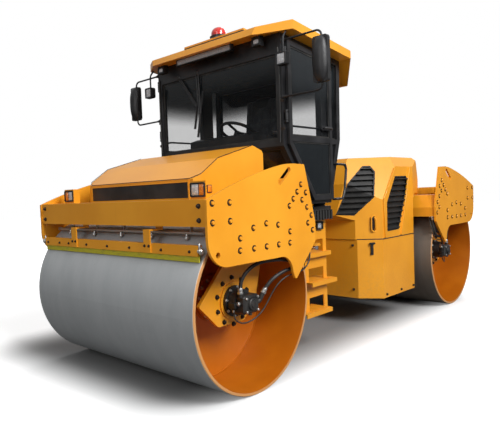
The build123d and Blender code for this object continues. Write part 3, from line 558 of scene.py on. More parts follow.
def rounded_path(corners, radius, steps=6):
    """Path through corners, each a quadratic arc between points that radius before and after it."""
    corners = np.asarray(corners, float)
    points = [corners[:1]]
    for before, corner, after in zip(corners[:-2], corners[1:-1], corners[2:]):
        a, b = before - corner, after - corner
        reach = min(radius, 0.45 * np.linalg.norm(a), 0.45 * np.linalg.norm(b))
        start = corner + a / np.linalg.norm(a) * reach
        stop = corner + b / np.linalg.norm(b) * reach
        t = np.linspace(0, 1, steps)[:, None]
        points.append((1 - t) ** 2 * start + 2 * t * (1 - t) * corner + t ** 2 * stop)
    points.append(corners[-1:])
    return np.concatenate(points)


def mirror(solid):
    """The same solid on the machine's other side, its faces turned so that they point outwards."""
    points, faces = solid
    return np.asarray(points) * (1, -1, 1), [face[::-1] for face in faces]


def both(*solids):
    """The solids and their mirror images."""
    return join(*solids, *[mirror(solid) for solid in solids])


# ---- Scrapers and sprinklers ----
# A yellow-green polyurethane blade is screwed behind each angle bar. A steel sprinkler pipe with
# five nozzles runs behind it, and a spring clamp holds the bar's end beside the plate.
urethane = mottled(
    "scraper_urethane", (0.52, 0.46, 0.025), (0.30, 0.27, 0.05), (1.0, 5, 0.6), edges=(0.45, 0.8),
    rough=(0.40, 0.25), relief=(0.1, 0.001), scale=(6, 14, 60), Specular_IOR_Level=0.4)
dress(urethane, "front_scraper_blade", "rear_scraper_blade")
black = mottled(
    "black_enamel", (0.008, 0.008, 0.009), (0.022, 0.022, 0.024), (6, 4), (600, 2), (0.3, 0.75),
    rough=(0.30, 0.18), relief=(0.08, 0.0004), Specular_IOR_Level=0.5)

BAR_FACE = 0.608
PIPE_X, PIPE_Z = 0.470, 1.285
on_yokes("scraper_screws", dark_bolt, middle=[
    *[bolt((BAR_FACE, y, 1.166), AHEAD, 0.015)
      for y in (-0.99, -0.78, -0.62, -0.33, -0.02, 0.28, 0.66, 0.96)],
    *[bolt((0.620, y, 1.19), AHEAD, 0.015) for y in (-0.535, -0.485, 0.485, 0.535)],
])
pipe = [tube([(PIPE_X, -0.98, PIPE_Z), (PIPE_X, 0.98, PIPE_Z)], 0.013, 14)]
for y in (-0.80, -0.40, 0.0, 0.40, 0.80):
    pipe.append(turned((PIPE_X, y, 1.272), (0.10, 0, -1), [
        (-0.004, 0.011), (0.016, 0.011), (0.018, 0.016), (0.034, 0.016), (0.036, 0.010), (0.046, 0.007),
    ], 12))
    pipe.append(box(0.455, 0.485, y + 0.05, y + 0.056, 1.27, 1.345))
clamp = []
for side in (-1, 1):
    pipe.append(turned((PIPE_X, side * 0.98, PIPE_Z), (0, side, 0), [
        (-0.001, 0.018), (0.020, 0.018), (0.022, 0.015),
    ], 6))
    clamp += [
        turned((0.599, side * 1.042, 1.172), (0, side, 0), [
            (-0.002, 0.014), (0.040, 0.014), (0.042, 0.011),
        ], 12),
        turned((0.599, side * 1.060, 1.172), (0, side, 0), [
            (0, 0.022), (0.003, 0.024), (0.010, 0.024), (0.013, 0.022),
        ], 16),
        turned((0.599, side * 1.052, 1.186), UP, [(0, 0.008), (0.035, 0.008), (0.040, 0.005)], 10),
    ]
on_yokes("sprinkler_pipe", sleeve_steel, middle=pipe)
on_yokes("bar_clamps", sleeve_steel, middle=clamp)


# ---- Drum motors ----
# Black cast hydraulic motors on the legs, their valve blocks joined by cap screws, with bright
# hexagon plugs and a moulded cable connector.
casting, place, feed = finish("motor_casting", Specular_IOR_Level=0.5)
sand = place.noise(90, 5, 0.7)
oil = place.noise(7, 4)
feed(
    Base_Color=oil.rise(0.35, 0.7).blend((0.014, 0.014, 0.015), (0.045, 0.043, 0.040)),
    Roughness=0.28 + 0.3 * oil,
    Metallic=0.15 + 0.2 * oil,
    Normal=sand.bump(0.35, 0.0015),
)
dress(casting, "front_motors", "rear_motors", "engine")
on_yokes("motor_screws", sleeve_steel, [
    *[bolt((0.114 * math.cos(turn), 0.847, HUB_HEIGHT + 0.114 * math.sin(turn)), LEFT, 0.017)
      for turn in np.arange(8) * math.pi / 4 + 0.2],
    *[turned((x, 1.007, z), LEFT, [(-0.001, 0.010), (0.010, 0.010), (0.012, 0.008)], 14)
      for x, z in ((-0.075, 0.745), (0.06, 0.745), (-0.075, 0.64), (0.06, 0.64))],
    bolt((0.085, 0.955, 0.705), AHEAD, 0.030, False),
])
on_yokes("motor_covers", casting, [
    turned((-0.008, 1.006, 0.694), LEFT, [
        (-0.001, 0.047), (0.012, 0.047), (0.016, 0.043), (0.018, 0.030), (0.024, 0.028), (0.026, 0.022),
    ], 32),
    turned((0.000, 0.990, 0.622), (0, 0, -1), [(-0.002, 0.016), (0.014, 0.016), (0.016, 0.012)], 14),
])


# ---- Sprinkler tanks ----
# Front tank: its sloping lid is the machine's nose, with a bare black panel in a recess frame
# and a thin dark strip along the lid's edge, painted shade in the gap under the lid. Rear tank:
# flat, with two ribbed filler caps.
moulded, place, feed = finish("moulded_plastic", Specular_IOR_Level=0.4)
cells = place.node("TexVoronoi", {"Vector": place, "Scale": 480.0})
feed(
    Base_Color=place.noise(9, 3).rise(0.3, 0.8).blend((0.010, 0.010, 0.011), (0.026, 0.026, 0.028)),
    Roughness=0.40 + 0.12 * cells,
    Normal=cells.bump(0.2, 0.0005),
)


def picture_frame(outer, inner, low, high, frame_axes, centre):
    """Flat ring between two outlines of as many corners, carried from low to high along the third axis."""
    u, v, w = np.array(frame_axes, float)
    rows = []
    for flat, lift in ((outer, low), (outer, high), (inner, high), (inner, low)):
        flat = np.asarray(flat, float)
        rows.append(np.asarray(centre) + flat[:, :1] * u + flat[:, 1:] * v + lift * w)
    n = len(outer)
    faces = grid_faces(5, n)
    if swept_area(outer) * np.dot(np.cross(u, v), w) < 0:
        faces = [face[::-1] for face in faces]
    return np.concatenate(rows), [[i % (4 * n) for i in face] for face in faces]


def rectangle(half_width, half_height, corner=0.0):
    """Outline about the origin; each corner cut off when corner is over 0."""
    a, b, c = half_width, half_height, corner
    if not corner:
        return [(-a, -b), (a, -b), (a, b), (-a, b)]
    quarter = [(a - c, -b), (a, -b + c), (a, b - c), (a - c, b)]
    return [(-a + c, -b), *quarter, (-a + c, b), (-a, b - c), (-a, -b + c)]


FORE = (LEFT, UP, AHEAD)                        # a face that looks forward
PANEL_AT, PANEL = (2.340, -0.005, 1.603), rectangle(0.655, 0.062)
put("front_name_panel", prism(PANEL, -0.001, 0.004, FORE, PANEL_AT), black, bevel=0.0015)
put("front_panel_frame", picture_frame(rectangle(0.668, 0.075), PANEL, -0.001, 0.007, FORE, PANEL_AT), paint)
# A thin dark strip along the lid's edge stands for the shade in the gap under it: painted shade.
put("front_lid_seal", both(tube([
    (2.3415, 0.0, 1.6935), (2.3415, 0.668, 1.6935), (2.292, 0.748, 1.7265), (2.09, 0.7475, 1.853),
    (1.85, 0.7475, 1.9145), (1.652, 0.7475, 1.966),
], 0.0028, 8)), dark_bolt)

caps = []
for x in (-1.900, -2.200):
    turn = np.linspace(0, 2 * np.pi, 72, endpoint=False)
    ribbed = 0.066 + 0.003 * (np.sin(turn * 18) > 0)
    outline = np.c_[ribbed * np.cos(turn), ribbed * np.sin(turn)]
    caps.append(prism(outline, 1.561, 1.592, centre=(x, 0, 0)))
    caps.append(turned((x, 0, 1.591), UP, [
        (-0.001, 0.058), (0.006, 0.056), (0.007, 0.030), (0.004, 0.012),
    ], 36))
put("rear_filler_caps", join(*caps), moulded, "rear_frame", bevel=0.001)


# ---- Lamps on the crossbeams ----
# Orange lamp boxes with a black bezel. In front a ribbed clear lens beside an amber one; behind
# a red lens beside a clear one.
def lens_finish(name, dark, light):
    """Moulded lens plastic with fine prisms in its face; its colour, lighter in cells and along the prisms,
    is a painted reflection of a bright bowl behind it.
    """
    lens, place, feed = finish(name, Coat_Weight=0.7, Coat_Roughness=0.04)
    x, y, z = place.parts()
    prisms = y.wave(620) * 0.5 + z.wave(620) * 0.5
    cells = place.node("TexVoronoi", {"Vector": place, "Scale": 70.0})
    # The lighter cells and prism lines in the colour are a painted reflection.
    feed(
        Base_Color=(0.6 * cells.rise(0.0, 0.6) + 0.2 * prisms.rise(-0.6, 0.8)).blend(light, dark),
        Roughness=0.14 + 0.1 * cells,
        Normal=prisms.bump(0.25, 0.001),
    )
    return lens


clear_lens = lens_finish("clear_lens", (0.30, 0.31, 0.33), (0.78, 0.79, 0.81))
amber_lens = lens_finish("amber_lens", (0.55, 0.13, 0.01), (0.86, 0.30, 0.02))
red_lens = lens_finish("red_lens", (0.42, 0.010, 0.006), (0.70, 0.03, 0.015))


def crowned(half_width, half_height, rise, frame_axes, centre, power=4.0, count=14):
    """Lens: height = rise * (1 - |a|**power) * (1 - |b|**power) over a rectangle, on a flat back."""
    a, b = np.meshgrid(np.linspace(-1, 1, count), np.linspace(-1, 1, count))
    u, v, w = np.array(frame_axes, float)
    lift = rise * (1 - np.abs(a) ** power) * (1 - np.abs(b) ** power) + 0.002
    top = (np.asarray(centre) + (a * half_width)[..., None] * u + (b * half_height)[..., None] * v
           + lift[..., None] * w).reshape(-1, 3)
    rim = np.r_[np.arange(count), np.arange(1, count) * count + count - 1,
                (count - 1) * count + np.arange(count - 2, -1, -1), np.arange(count - 2, 0, -1) * count]
    under = top[rim] - (lift.ravel()[rim] + 0.001)[:, None] * w
    start, n = count * count, len(rim)
    faces = grid_faces(count, count, closed=False)
    faces += [[int(rim[i]), start + i, start + (i + 1) % n, int(rim[(i + 1) % n])] for i in range(n)]
    faces.append(list(range(start, start + n))[::-1])
    return np.concatenate([top, under]), faces


lamp_at = (0.417, 0.880, 1.600)
on_yokes("lamp_bezels", moulded, [
    picture_frame(
        rectangle(0.076, 0.054, 0.01), rectangle(0.066, 0.044, 0.008), -0.001, 0.010, FORE, lamp_at),
    prism(rectangle(0.067, 0.045), -0.0005, 0.002, FORE, lamp_at),
    box(0.357, 0.407, 0.958, 0.966, 1.575, 1.632),
])
on_yokes("lamp_clear_lenses", clear_lens, [crowned(0.036, 0.041, 0.008, FORE, (0.418, 0.851, 1.600))])
OUT = ((-1, 0, 0), UP, LEFT)                    # a face that looks to the machine's left
on_yokes("lamp_colour_lenses", {"front": amber_lens, "rear": red_lens}, [
    crowned(0.024, 0.041, 0.008, FORE, (0.418, 0.917, 1.600)),
    crowned(0.020, 0.024, 0.004, OUT, (0.382, 0.9655, 1.6035)),
])


# ---- Centre frame, ladders and steering ----
# Plate frame with the steering ears; step plates with anti-slip studs on three treads; pin caps
# with grease nipples; a chromed steering rod with a bronze-coloured gland nut.
grips = []
for top, x_low, x_high, y_out in (
    (0.412, 0.660, 1.100, 0.890), (0.692, 0.560, 1.000, 0.890), (0.962, 0.610, 1.000, 0.860),
):
    for row, y in enumerate(np.arange(0.828, y_out - 0.004, 0.022)):
        for x in np.arange(x_low + 0.02 + 0.013 * (row % 2), x_high - 0.01, 0.026):
            grips.append(turned((x, y, top), UP, [(-0.0005, 0.0065), (0.002, 0.006), (0.0028, 0.004)], 6))
put("tread_studs", both(*grips), paint, smooth=False)
ladder_lamp_at = (0.745, 0.812, 1.215)
put("ladder_lamps", both(
    picture_frame(rectangle(0.052, 0.040, 0.006), rectangle(0.042, 0.030, 0.005), -0.001, 0.020, OUT,
                  ladder_lamp_at),
    prism(rectangle(0.043, 0.031), -0.0005, 0.006, OUT, ladder_lamp_at),
), moulded)
put("ladder_lamp_lenses", both(crowned(0.038, 0.026, 0.006, OUT, (0.745, 0.8175, 1.215))), clear_lens)

pins = []
for top in (1.060, 0.640):
    pins.append(turned((0, 0, top), UP, [
        (-0.001, 0.062), (0.010, 0.062), (0.013, 0.058), (0.014, 0.020), (0.018, 0.018),
    ], 40))
    for turn in np.arange(4) * math.pi / 2 + 0.4:
        pins.append(bolt((0.046 * math.cos(turn), 0.046 * math.sin(turn), top + 0.013), UP, 0.014))
pins.append(turned((0, 0, 1.077), UP, [(-0.004, 0.005), (0.004, 0.005), (0.008, 0.003), (0.012, 0.004)], 8))
put("pivot_caps", join(*pins), dark_bolt)

gland_steel = mottled("gland_bronze", (0.34, 0.24, 0.10), (0.52, 0.38, 0.18), (1.0, 3), rough=(0.25, 0.2),
                      scale=(60, 160, 160), Metallic=0.85)
chrome = mottled("rod_chrome", (0.50, 0.50, 0.51), (0.74, 0.74, 0.75), (1.0, 3), rough=(0.10, 0.16),
                 scale=(8, 160, 160), Metallic=1.0)
dress(chrome, "steering_rod")
dress(black, "steering_barrel")
rod_way = np.array([-0.8, 0.01, 0.0]) / math.hypot(0.8, 0.01)
rod_foot = np.array([0.800, 0.290, 0.900])
put("steering_gland", turned(rod_foot + 0.5595 * rod_way, rod_way, [
    (-0.030, 0.040), (-0.030, 0.0475), (-0.004, 0.0475), (0.001, 0.043), (0.0015, 0.0255),
], 28), gland_steel, "steering_barrel")
ports = []
for reach in (0.10, 0.49):
    spot = rod_foot + reach * rod_way + (0, 0, 0.044)
    ports.append(turned(spot, UP, [(-0.002, 0.013), (0.016, 0.013), (0.017, 0.010)], 14))
    ports.append(turned(spot + (0, 0, 0.016), UP, [(-0.001, 0.0125), (0.010, 0.0125), (0.012, 0.010)], 6))
put("steering_ports", join(*ports), sleeve_steel, "steering_barrel")


# ---- Cab frame, floor and mounts ----
# Welded square tube in satin black, on a deck with four rubber mounts; ribbed rubber steps;
# a cable in clips down each front pillar.
dress(black, "cab_frame", "cab_floor", "cab_platform", "left_door_frame", "right_door_frame", "door_hinges")
step_rubber, place, feed = finish("step_rubber", Specular_IOR_Level=0.35)
x, y, z = place.parts()
grain = place.noise(300, 4, 0.7)
feed(
    Base_Color=grain.rise(0.35, 0.8).blend((0.014, 0.014, 0.014), (0.045, 0.043, 0.040)),
    Roughness=0.55 + 0.25 * grain,
    Normal=(0.6 * x.wave(250) + 0.4 * grain).bump(0.4, 0.002),
)
dress(step_rubber, "entry_steps")
MOUNT_PLACES = (0.545, 0.835)
put("cab_mounts", both(*[
    turned((x, 0.700, 1.396), UP, [
        (0, 0.058), (0.006, 0.064), (0.012, 0.064), (0.016, 0.052), (0.020, 0.064), (0.028, 0.064),
        (0.033, 0.056),
    ], 28) for x in MOUNT_PLACES
]), rubber)
put("cab_mount_bolts", both(*[bolt((x, 0.700, 1.345), (0, 0, -1), 0.030) for x in MOUNT_PLACES]), dark_bolt)
put("step_ribs", both(*[
    box(x, x + 0.016, 0.765, 0.895, 1.364, 1.371) for x in np.arange(0.650, 0.975, 0.030)
]), step_rubber, bevel=0.002)
clips = []
for z in (2.37, 2.12):
    clips.append(box(1.272, 1.300, 0.800, 0.826, z - 0.012, z + 0.012))
    clips.append(turned((1.286, 0.826, z), LEFT, [(-0.001, 0.006), (0.006, 0.006), (0.008, 0.004)], 10))
put("pillar_clips", both(*clips), dark_bolt)
put("pillar_cable", both(tube(rounded_path([
    (1.297, 0.790, 2.00), (1.297, 0.800, 2.30), (1.297, 0.800, 2.60), (1.297, 0.790, 2.84),
], 0.2), 0.006, 8)), rubber)


# ---- Cab glass and seals ----
# Tinted safety glass in black rubber seals, darker towards the top as a painted reflection and
# dark at the foot of the side panes as painted shade; the door panes and side panes are flush
# with the frame, the windscreen sits in the front ring.
def glazing(name, clear, painted_reflection_low, painted_reflection_high, foot):
    """Clear pane that darkens upward between two heights as a painted reflection, and below a third height
    darkens further as painted shade.
    """
    pane, place, feed = finish(name, Specular_IOR_Level=0.6, IOR=1.45)
    film = place.noise(4, 3)
    z = place.parts()[2]
    # Opacity of the dark tint: its rise towards the top is a painted reflection, the darker foot under the
    # third height is painted shade.
    painted_reflection_and_shade = z.rise(painted_reflection_low, painted_reflection_high).most(0.75 * (1 - z.rise(foot, foot + 0.03)))
    feed(
        Base_Color=film.blend((0.005, 0.007, 0.010), (0.016, 0.020, 0.022)),
        Roughness=0.02 + 0.02 * film,
        Alpha=clear + 0.72 * painted_reflection_and_shade,
    )
    return pane


dress(glazing("windscreen_glass", 0.13, 2.50, 2.78, 1.90), "windscreen")
dress(glazing("side_glass", 0.16, 2.34, 2.62, 2.010), "cab_windows", "left_door_glass", "right_door_glass")
AFT = ((0, -1, 0), UP, (-1, 0, 0))              # a face that looks to the rear
for name, half_height, axes, face in (("windscreen", 0.380, FORE, 1.266), ("rear_window", 0.350, AFT, 0.325)):
    outer, inner = rectangle(0.760, half_height), rectangle(0.742, half_height - 0.018)
    put(f"{name}_seal", picture_frame(outer, inner, 0.0, 0.006, axes, (face, 0, 2.410)), rubber)


SIDE_ON = (AHEAD, UP, LEFT)                     # x and z in the machine's side view, carried to its left


def pane_seal(corners, y, width=0.014, depth=0.005):
    """Strip round a pane of corners (x, z), set in by its width along each corner's bisector."""
    flat = np.asarray(corners, float)
    ahead = np.roll(flat, -1, axis=0) - flat
    ahead = ahead / np.linalg.norm(ahead, axis=1)[:, None]
    square = np.c_[-ahead[:, 1], ahead[:, 0]] * np.sign(swept_area(flat))
    before = np.roll(square, 1, axis=0)
    inner = flat + (square + before) * (width / (1 + np.sum(square * before, axis=1)))[:, None]
    return picture_frame(flat, inner, 0.0, depth, SIDE_ON, (0, y, 0))


def on_doors(name, solid, material):
    """The left door's piece, and its mirror image on the right door."""
    for side_name, side in SIDES:
        put(f"{side_name}_door_{name}", solid if side > 0 else mirror(solid), material, f"{side_name}_door")


DOOR_UPPER = [(0.560, 2.060), (1.195, 2.060), (1.195, 2.858), (0.560, 2.788)]
DOOR_LOWER = [(0.560, 2.010), (1.195, 2.010), (1.195, 2.000), (0.835, 1.507), (0.560, 1.507)]
on_doors("seals", join(pane_seal(DOOR_UPPER, 0.842), pane_seal(DOOR_LOWER, 0.842)), rubber)
QUARTER_UPPER = [(0.351, 2.061), (0.483, 2.061), (0.483, 2.812), (0.351, 2.797)]
QUARTER_LOWER = [(0.364, 2.009), (0.483, 2.009), (0.483, 1.675)]
put("quarter_seals", both(*[
    pane_seal(corners, 0.796, 0.010) for corners in (QUARTER_UPPER, QUARTER_LOWER)
]), rubber)


# ---- Doors' handles and latches ----
# Black cast handle with a bow and a lock barrel on each door's outside, and a round pull bar
# across its inside.
def bow(start, stop, y_foot, y_bar, z, bend, radius):
    """Round bar that stands out from a door at two places along x."""
    corners = [(start, y_foot, z), (start, y_bar, z), (stop, y_bar, z), (stop, y_foot, z)]
    return tube(rounded_path(corners, bend), radius, 12)


on_doors("handle", join(
    prism(rectangle(0.085, 0.022, 0.010), -0.001, 0.012, OUT, (0.640, 0.853, 2.150)),
    bow(0.575, 0.700, 0.863, 0.893, 2.150, 0.02, 0.008),
    turned((0.538, 0.852, 2.150), LEFT, [(-0.001, 0.014), (0.012, 0.014), (0.014, 0.011)], 18),
    turned((0.640, 0.8635, 2.150), LEFT, [(-0.001, 0.010), (0.004, 0.010), (0.005, 0.008)], 14),
), black)
on_doors("pull", bow(1.170, 0.640, 0.825, 0.775, 2.16, 0.03, 0.010), black)


# ---- Wipers ----
# Two black pantograph wipers that hang from motors above the windscreen, and one on the rear
# window, each with a rubber blade in a sprung carrier.
def wiper(spindle, tip, blade_low, blade_high, out):
    """Motor cap at the spindle, twin arms to the tip, and a blade through it between two points."""
    spindle, tip, low, high = (np.asarray(p, float) for p in (spindle, tip, blade_low, blade_high))
    ahead = np.asarray((out, 0, 0), float)
    beside = np.cross(ahead, (high - low) / np.linalg.norm(high - low))
    arms = [tube([spindle + s * 0.016 * beside, tip + s * 0.010 * beside], 0.0065, 8) for s in (-1, 1)]
    strip = [
        low + t * (high - low) - (0.005 + 0.006 * (2 * t - 1) ** 2) * ahead for t in np.linspace(0, 1, 9)
    ]
    return join(
        turned(spindle - 0.012 * ahead, ahead, [(0, 0.024), (0.018, 0.024), (0.024, 0.016)], 20),
        *arms, tube(strip, 0.008, 8), tube([low + 0.006 * ahead, high + 0.006 * ahead], 0.005, 6),
        turned(tip - 0.008 * ahead, ahead, [(0, 0.012), (0.014, 0.012), (0.016, 0.009)], 12),
    )


GLASS_FACE = 1.272
put("windscreen_wipers", join(*[
    wiper((GLASS_FACE + 0.018, y, 2.815), (GLASS_FACE + 0.010, *tip), (GLASS_FACE, *low),
          (GLASS_FACE, *high), 1)
    for y, tip, low, high in (
        (-0.490, (-0.250, 2.480), (-0.300, 2.250), (-0.205, 2.700)),
        (-0.220, (-0.210, 2.400), (-0.260, 2.160), (-0.165, 2.620)),
    )
]), black)
put("rear_wiper", wiper(
    (0.303, 0.0, 2.775), (0.313, 0.150, 2.450), (0.319, 0.130, 2.200), (0.319, 0.170, 2.690), -1), black)


# ---- Mirrors ----
# Tube arms, clamped to the front pillars, carry deep moulded heads with a domed back forward.
# A flat silvered glass in a rim looks aft.
dress(moulded, "mirrors")


def dome(half_width, half_height, rise, frame_axes, centre, power=2.6, count=22):
    """Moulded back: height = rise * (1 - r**2.4)**0.6, with r from 0 to 1 out to a superellipse."""
    turn = np.linspace(0, 2 * np.pi, 4 * count, endpoint=False)
    ring = (np.abs(np.cos(turn)) ** power + np.abs(np.sin(turn)) ** power) ** (-1 / power)
    reach = np.sin(np.linspace(0, np.pi / 2, 9))[::-1][:, None]
    u, v, w = np.array(frame_axes, float)
    a = reach * ring * np.cos(turn) * half_width
    b = reach * ring * np.sin(turn) * half_height
    lift = np.broadcast_to(rise * (1 - reach ** 2.4) ** 0.6, a.shape)
    points = np.asarray(centre) + a[..., None] * u + b[..., None] * v + lift[..., None] * w
    rows = points.reshape(-1, 3)
    n = 4 * count
    faces = grid_faces(8, n)
    faces += [list(range(7 * n, 8 * n)), list(range(n))[::-1]]
    return rows[:8 * n], faces


MIRROR_AT = (1.220, 2.647)
put("mirror_backs", both(dome(0.069, 0.189, 0.050, FORE, (1.3115, *MIRROR_AT))), moulded)
put("mirror_rims", both(picture_frame(
    rectangle(0.0695, 0.1895, 0.02), rectangle(0.062, 0.182, 0.018), -0.001, 0.006, AFT, (1.272, *MIRROR_AT),
)), moulded, bevel=0.0015)
silver = mottled("mirror_silver", (0.78, 0.80, 0.81), (0.86, 0.87, 0.88), (12, 4), rough=(0.03, 0.05),
                 Metallic=1.0, Specular_IOR_Level=0.5)
put("mirror_glass", both(crowned(0.0615, 0.1815, 0.0015, AFT, (1.272, *MIRROR_AT))), silver)
put("mirror_clamps", both(*[
    turned((1.280, 0.820, z), LEFT, [(0, 0.022), (0.006, 0.022), (0.007, 0.014), (0.040, 0.013)], 16)
    for z in (2.895, 2.400)
]), black)


# ---- Roof ----
# Moulded roof in the machine's colour with a raised cover on a dark rubber curb, a rotating
# beacon, a long light bar under the front lip and work lamps at its front corners.
def roof_line(x):
    """Height of the roof's sloping top at x, in metres, for a number or a Wire."""
    return 2.930 + (x - 0.300) * 0.116


put("hatch_curb", prism([
    (x, roof_line(x) + lift) for x, lift in ((0.690, 0.001), (1.240, 0.001), (1.240, 0.033), (0.690, 0.033))
], -0.350, 0.350, SIDE_ON), rubber)
roof_finish, place, feed = finish("roof_finish", Coat_Weight=0.25, Coat_Roughness=0.24)
x, y, z = place.parts()
cloud = place.noise(2.2, 4)
above = z - roof_line(x)
curb_part = above.rise(0.003, 0.006) * (1 - above.rise(0.052, 0.055)) * (
    1 - abs(x - 0.965).rise(0.330, 0.335)) * (1 - abs(y).rise(0.406, 0.410))
beneath = z - (2.852 + (x - 0.285) * 0.1134)
lining = (1 - beneath.rise(0.004, 0.008)) * (1 - abs(y).rise(0.812, 0.816)) * (
    1 - abs(x - 0.79).rise(0.505, 0.515))
dark = curb_part.most(lining)
grit = place.noise(120, 4, 0.6)
orange = cloud.rise(0.3, 0.7).blend(*PAINT_TONES)
feed(
    Base_Color=dark.blend(orange, grit.blend((0.010, 0.010, 0.012), (0.022, 0.022, 0.024))),
    Roughness=0.32 + 0.12 * cloud + 0.3 * dark,
    Normal=(grit * dark).bump(0.2, 0.001),
)
dress(roof_finish, "cab_roof")
beacon_red, place, feed = finish("beacon_red", Coat_Weight=0.7, Coat_Roughness=0.05)
x, y, z = place.parts()
base_part = 1 - z.rise(3.146, 3.149)
ribs = z.wave(420)
dome_red = place.noise(40, 3).blend((0.46, 0.010, 0.007), (0.66, 0.03, 0.015))
feed(
    Base_Color=base_part.blend(dome_red, (0.016, 0.015, 0.016)),
    Roughness=0.20 + 0.08 * ribs + 0.2 * base_part,
    Normal=ribs.bump(0.3, 0.001),
)
dress(beacon_red, "beacon")
put("beacon_collar", turned((1.180, 0, 3.134), UP, [
    (0, 0.088), (0.004, 0.091), (0.012, 0.091), (0.016, 0.086), (0.018, 0.0765),
], 40), moulded)

dress(moulded, "roof_lights")
BAR_LAMP_FACE, BAR_LENS = 1.430, rectangle(0.355, 0.026, 0.006)
bar_lens = lens_finish("bar_lens", (0.16, 0.16, 0.165), (0.45, 0.45, 0.45))
put("light_bar_lens", prism(BAR_LENS, -0.001, 0.005, FORE, (BAR_LAMP_FACE, 0, 2.920)), bar_lens, bevel=0.0015)
put("light_bar_frame", picture_frame(rectangle(0.371, 0.034, 0.006), BAR_LENS, -0.001, 0.008, FORE,
                                     (BAR_LAMP_FACE, 0, 2.922)), moulded)


def work_lamp(centre, half_width, half_height, depth):
    """Square work lamp that looks forward: finned case, bezel, and its lens."""
    def plate(more, low, high, corner=0.008):
        return prism(rectangle(half_width + more, half_height + more, corner), low, high, FORE, centre)

    case = [plate(0, -depth, 0.0)]
    case += [plate(0.004, step, step + 0.004) for step in np.linspace(-depth * 0.85, -depth * 0.25, 4)]
    case.append(picture_frame(rectangle(half_width + 0.003, half_height + 0.003, 0.008),
                              rectangle(half_width - 0.008, half_height - 0.008, 0.006), 0.0, 0.010,
                              FORE, centre))
    lens_at = np.add(centre, (0.001, 0, 0))
    return join(*case), crowned(half_width - 0.009, half_height - 0.009, 0.004, FORE, lens_at)


cases, lenses = zip(
    work_lamp((1.405, 0.640, 2.905), 0.042, 0.030, 0.050),
    work_lamp((1.385, 0.885, 2.710), 0.048, 0.052, 0.060),
)
put("work_lamps", both(
    *cases,
    tube(rounded_path([
        (1.300, 0.885, 2.960), (1.350, 0.885, 2.900), (1.350, 0.885, 2.760),
    ], 0.03), 0.009, 10),
    box(1.335, 1.365, 0.872, 0.898, 2.752, 2.768),
), moulded)
put("work_lamp_lenses", both(*lenses), clear_lens)


# ---- Seat ----
# Suspension seat: foam cushion and back in grey cloth over a black base with a bellows, with
# sewn channels, a headrest, folding armrests, a belt anchor and a fore-and-aft lever.
dress(black, "seat_base", "dashboard")


def seat_pad(name, node, ahead, cover, travel, grooves):
    """Foam pad: the node's solid drawn in, remeshed, inflated as cloth with a capped travel, sewn.

    A groove (axis, place, depth, width) sinks the pad by depth * exp(-((p - place) / width)**2).
    """
    source = bpy.data.objects[node]
    mesh = source.data.copy()
    pad_piece = bpy.data.objects.new(name, mesh)
    scene.collection.objects.link(pad_piece)
    points = np.empty(len(mesh.vertices) * 3)
    mesh.vertices.foreach_get("co", points)
    points = points.reshape(-1, 3)
    middle = (points.min(0) + points.max(0)) / 2
    half = (points.max(0) - points.min(0)) / 2
    points = middle + (points - middle) * (1 - 0.012 / half)
    mesh.vertices.foreach_set("co", points.ravel())
    pad_piece.modifiers.new("welded", "WELD").merge_threshold = 0.0001
    grid = pad_piece.modifiers.new("remeshed", "REMESH")
    grid.mode, grid.voxel_size = "VOXEL", 0.006
    rounding = pad_piece.modifiers.new("rounded", "SMOOTH")
    rounding.factor, rounding.iterations = 0.5, 14

    def applied():
        """The piece's mesh with its modifiers made real."""
        graph = bpy.context.evaluated_depsgraph_get()
        shaped = bpy.data.meshes.new_from_object(pad_piece.evaluated_get(graph))
        pad_piece.modifiers.clear()
        pad_piece.data = shaped
        places = np.empty(len(shaped.vertices) * 3)
        shaped.vertices.foreach_get("co", places)
        return places.reshape(-1, 3)

    start = applied()
    foam = pad_piece.modifiers.new("foam", "CLOTH")
    foam.settings.use_pressure = True
    foam.settings.uniform_pressure_force = 4.0
    foam.settings.quality = 4
    foam.settings.effector_weights.gravity = 0.0
    foam.collision_settings.use_collision = False
    for step in range(1, 21):
        scene.frame_set(step)
    swollen = applied()
    moved = swollen - start
    reach = np.linalg.norm(moved, axis=1)[:, None]
    start = start + moved * np.minimum(1, travel / np.maximum(reach, 1e-9))
    scene.frame_set(1)
    centre = start.mean(0)
    outward = np.asarray(ahead, float)
    rise = (start - centre) @ outward
    facing = np.clip(rise / np.abs(rise).max(), 0, 1) ** 0.5
    for axis, spot, depth, width in grooves:
        sunk = depth * np.exp(-((start[:, axis] - spot) / width) ** 2) * facing
        start = start - sunk[:, None] * outward
    pad_piece.data.vertices.foreach_set("co", start.ravel())
    pad_piece.data.update()
    pad_piece.data.shade_smooth()
    subdivision = pad_piece.modifiers.new("subdivision", "SUBSURF")
    subdivision.levels = subdivision.render_levels = 1
    applied()
    pad_piece.data.shade_smooth()
    pad_piece.data.materials.clear()
    pad_piece.data.materials.append(cover)
    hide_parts(node)
    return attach(pad_piece, "front_frame")


cloth, place, feed = finish("seat_cloth", Sheen_Weight=0.25, Sheen_Roughness=0.4, Specular_IOR_Level=0.3)
x, y, z = place.parts()
weave = y.wave(2600) * (x + z).wave(2600)
worn = place.noise(14, 5, 0.6)
feed(
    Base_Color=worn.rise(0.3, 0.75).blend((0.032, 0.034, 0.038), (0.075, 0.076, 0.080)),
    Roughness=0.78 + 0.12 * worn,
    Normal=(0.5 * weave + 0.5 * worn).bump(0.35, 0.0012),
)
vinyl = mottled("seat_vinyl", (0.013, 0.013, 0.014), (0.030, 0.030, 0.031), (90, 5, 0.7),
                rough=(0.48, 0.2), relief=(0.3, 0.001), Specular_IOR_Level=0.4)
seat_pad("seat_cushion_pad", "seat_cushion", UP, cloth, 0.014, [
    (1, 0.150, 0.007, 0.007), (1, -0.150, 0.007, 0.007), (0, 0.600, 0.005, 0.007), (0, 0.760, 0.005, 0.007),
])
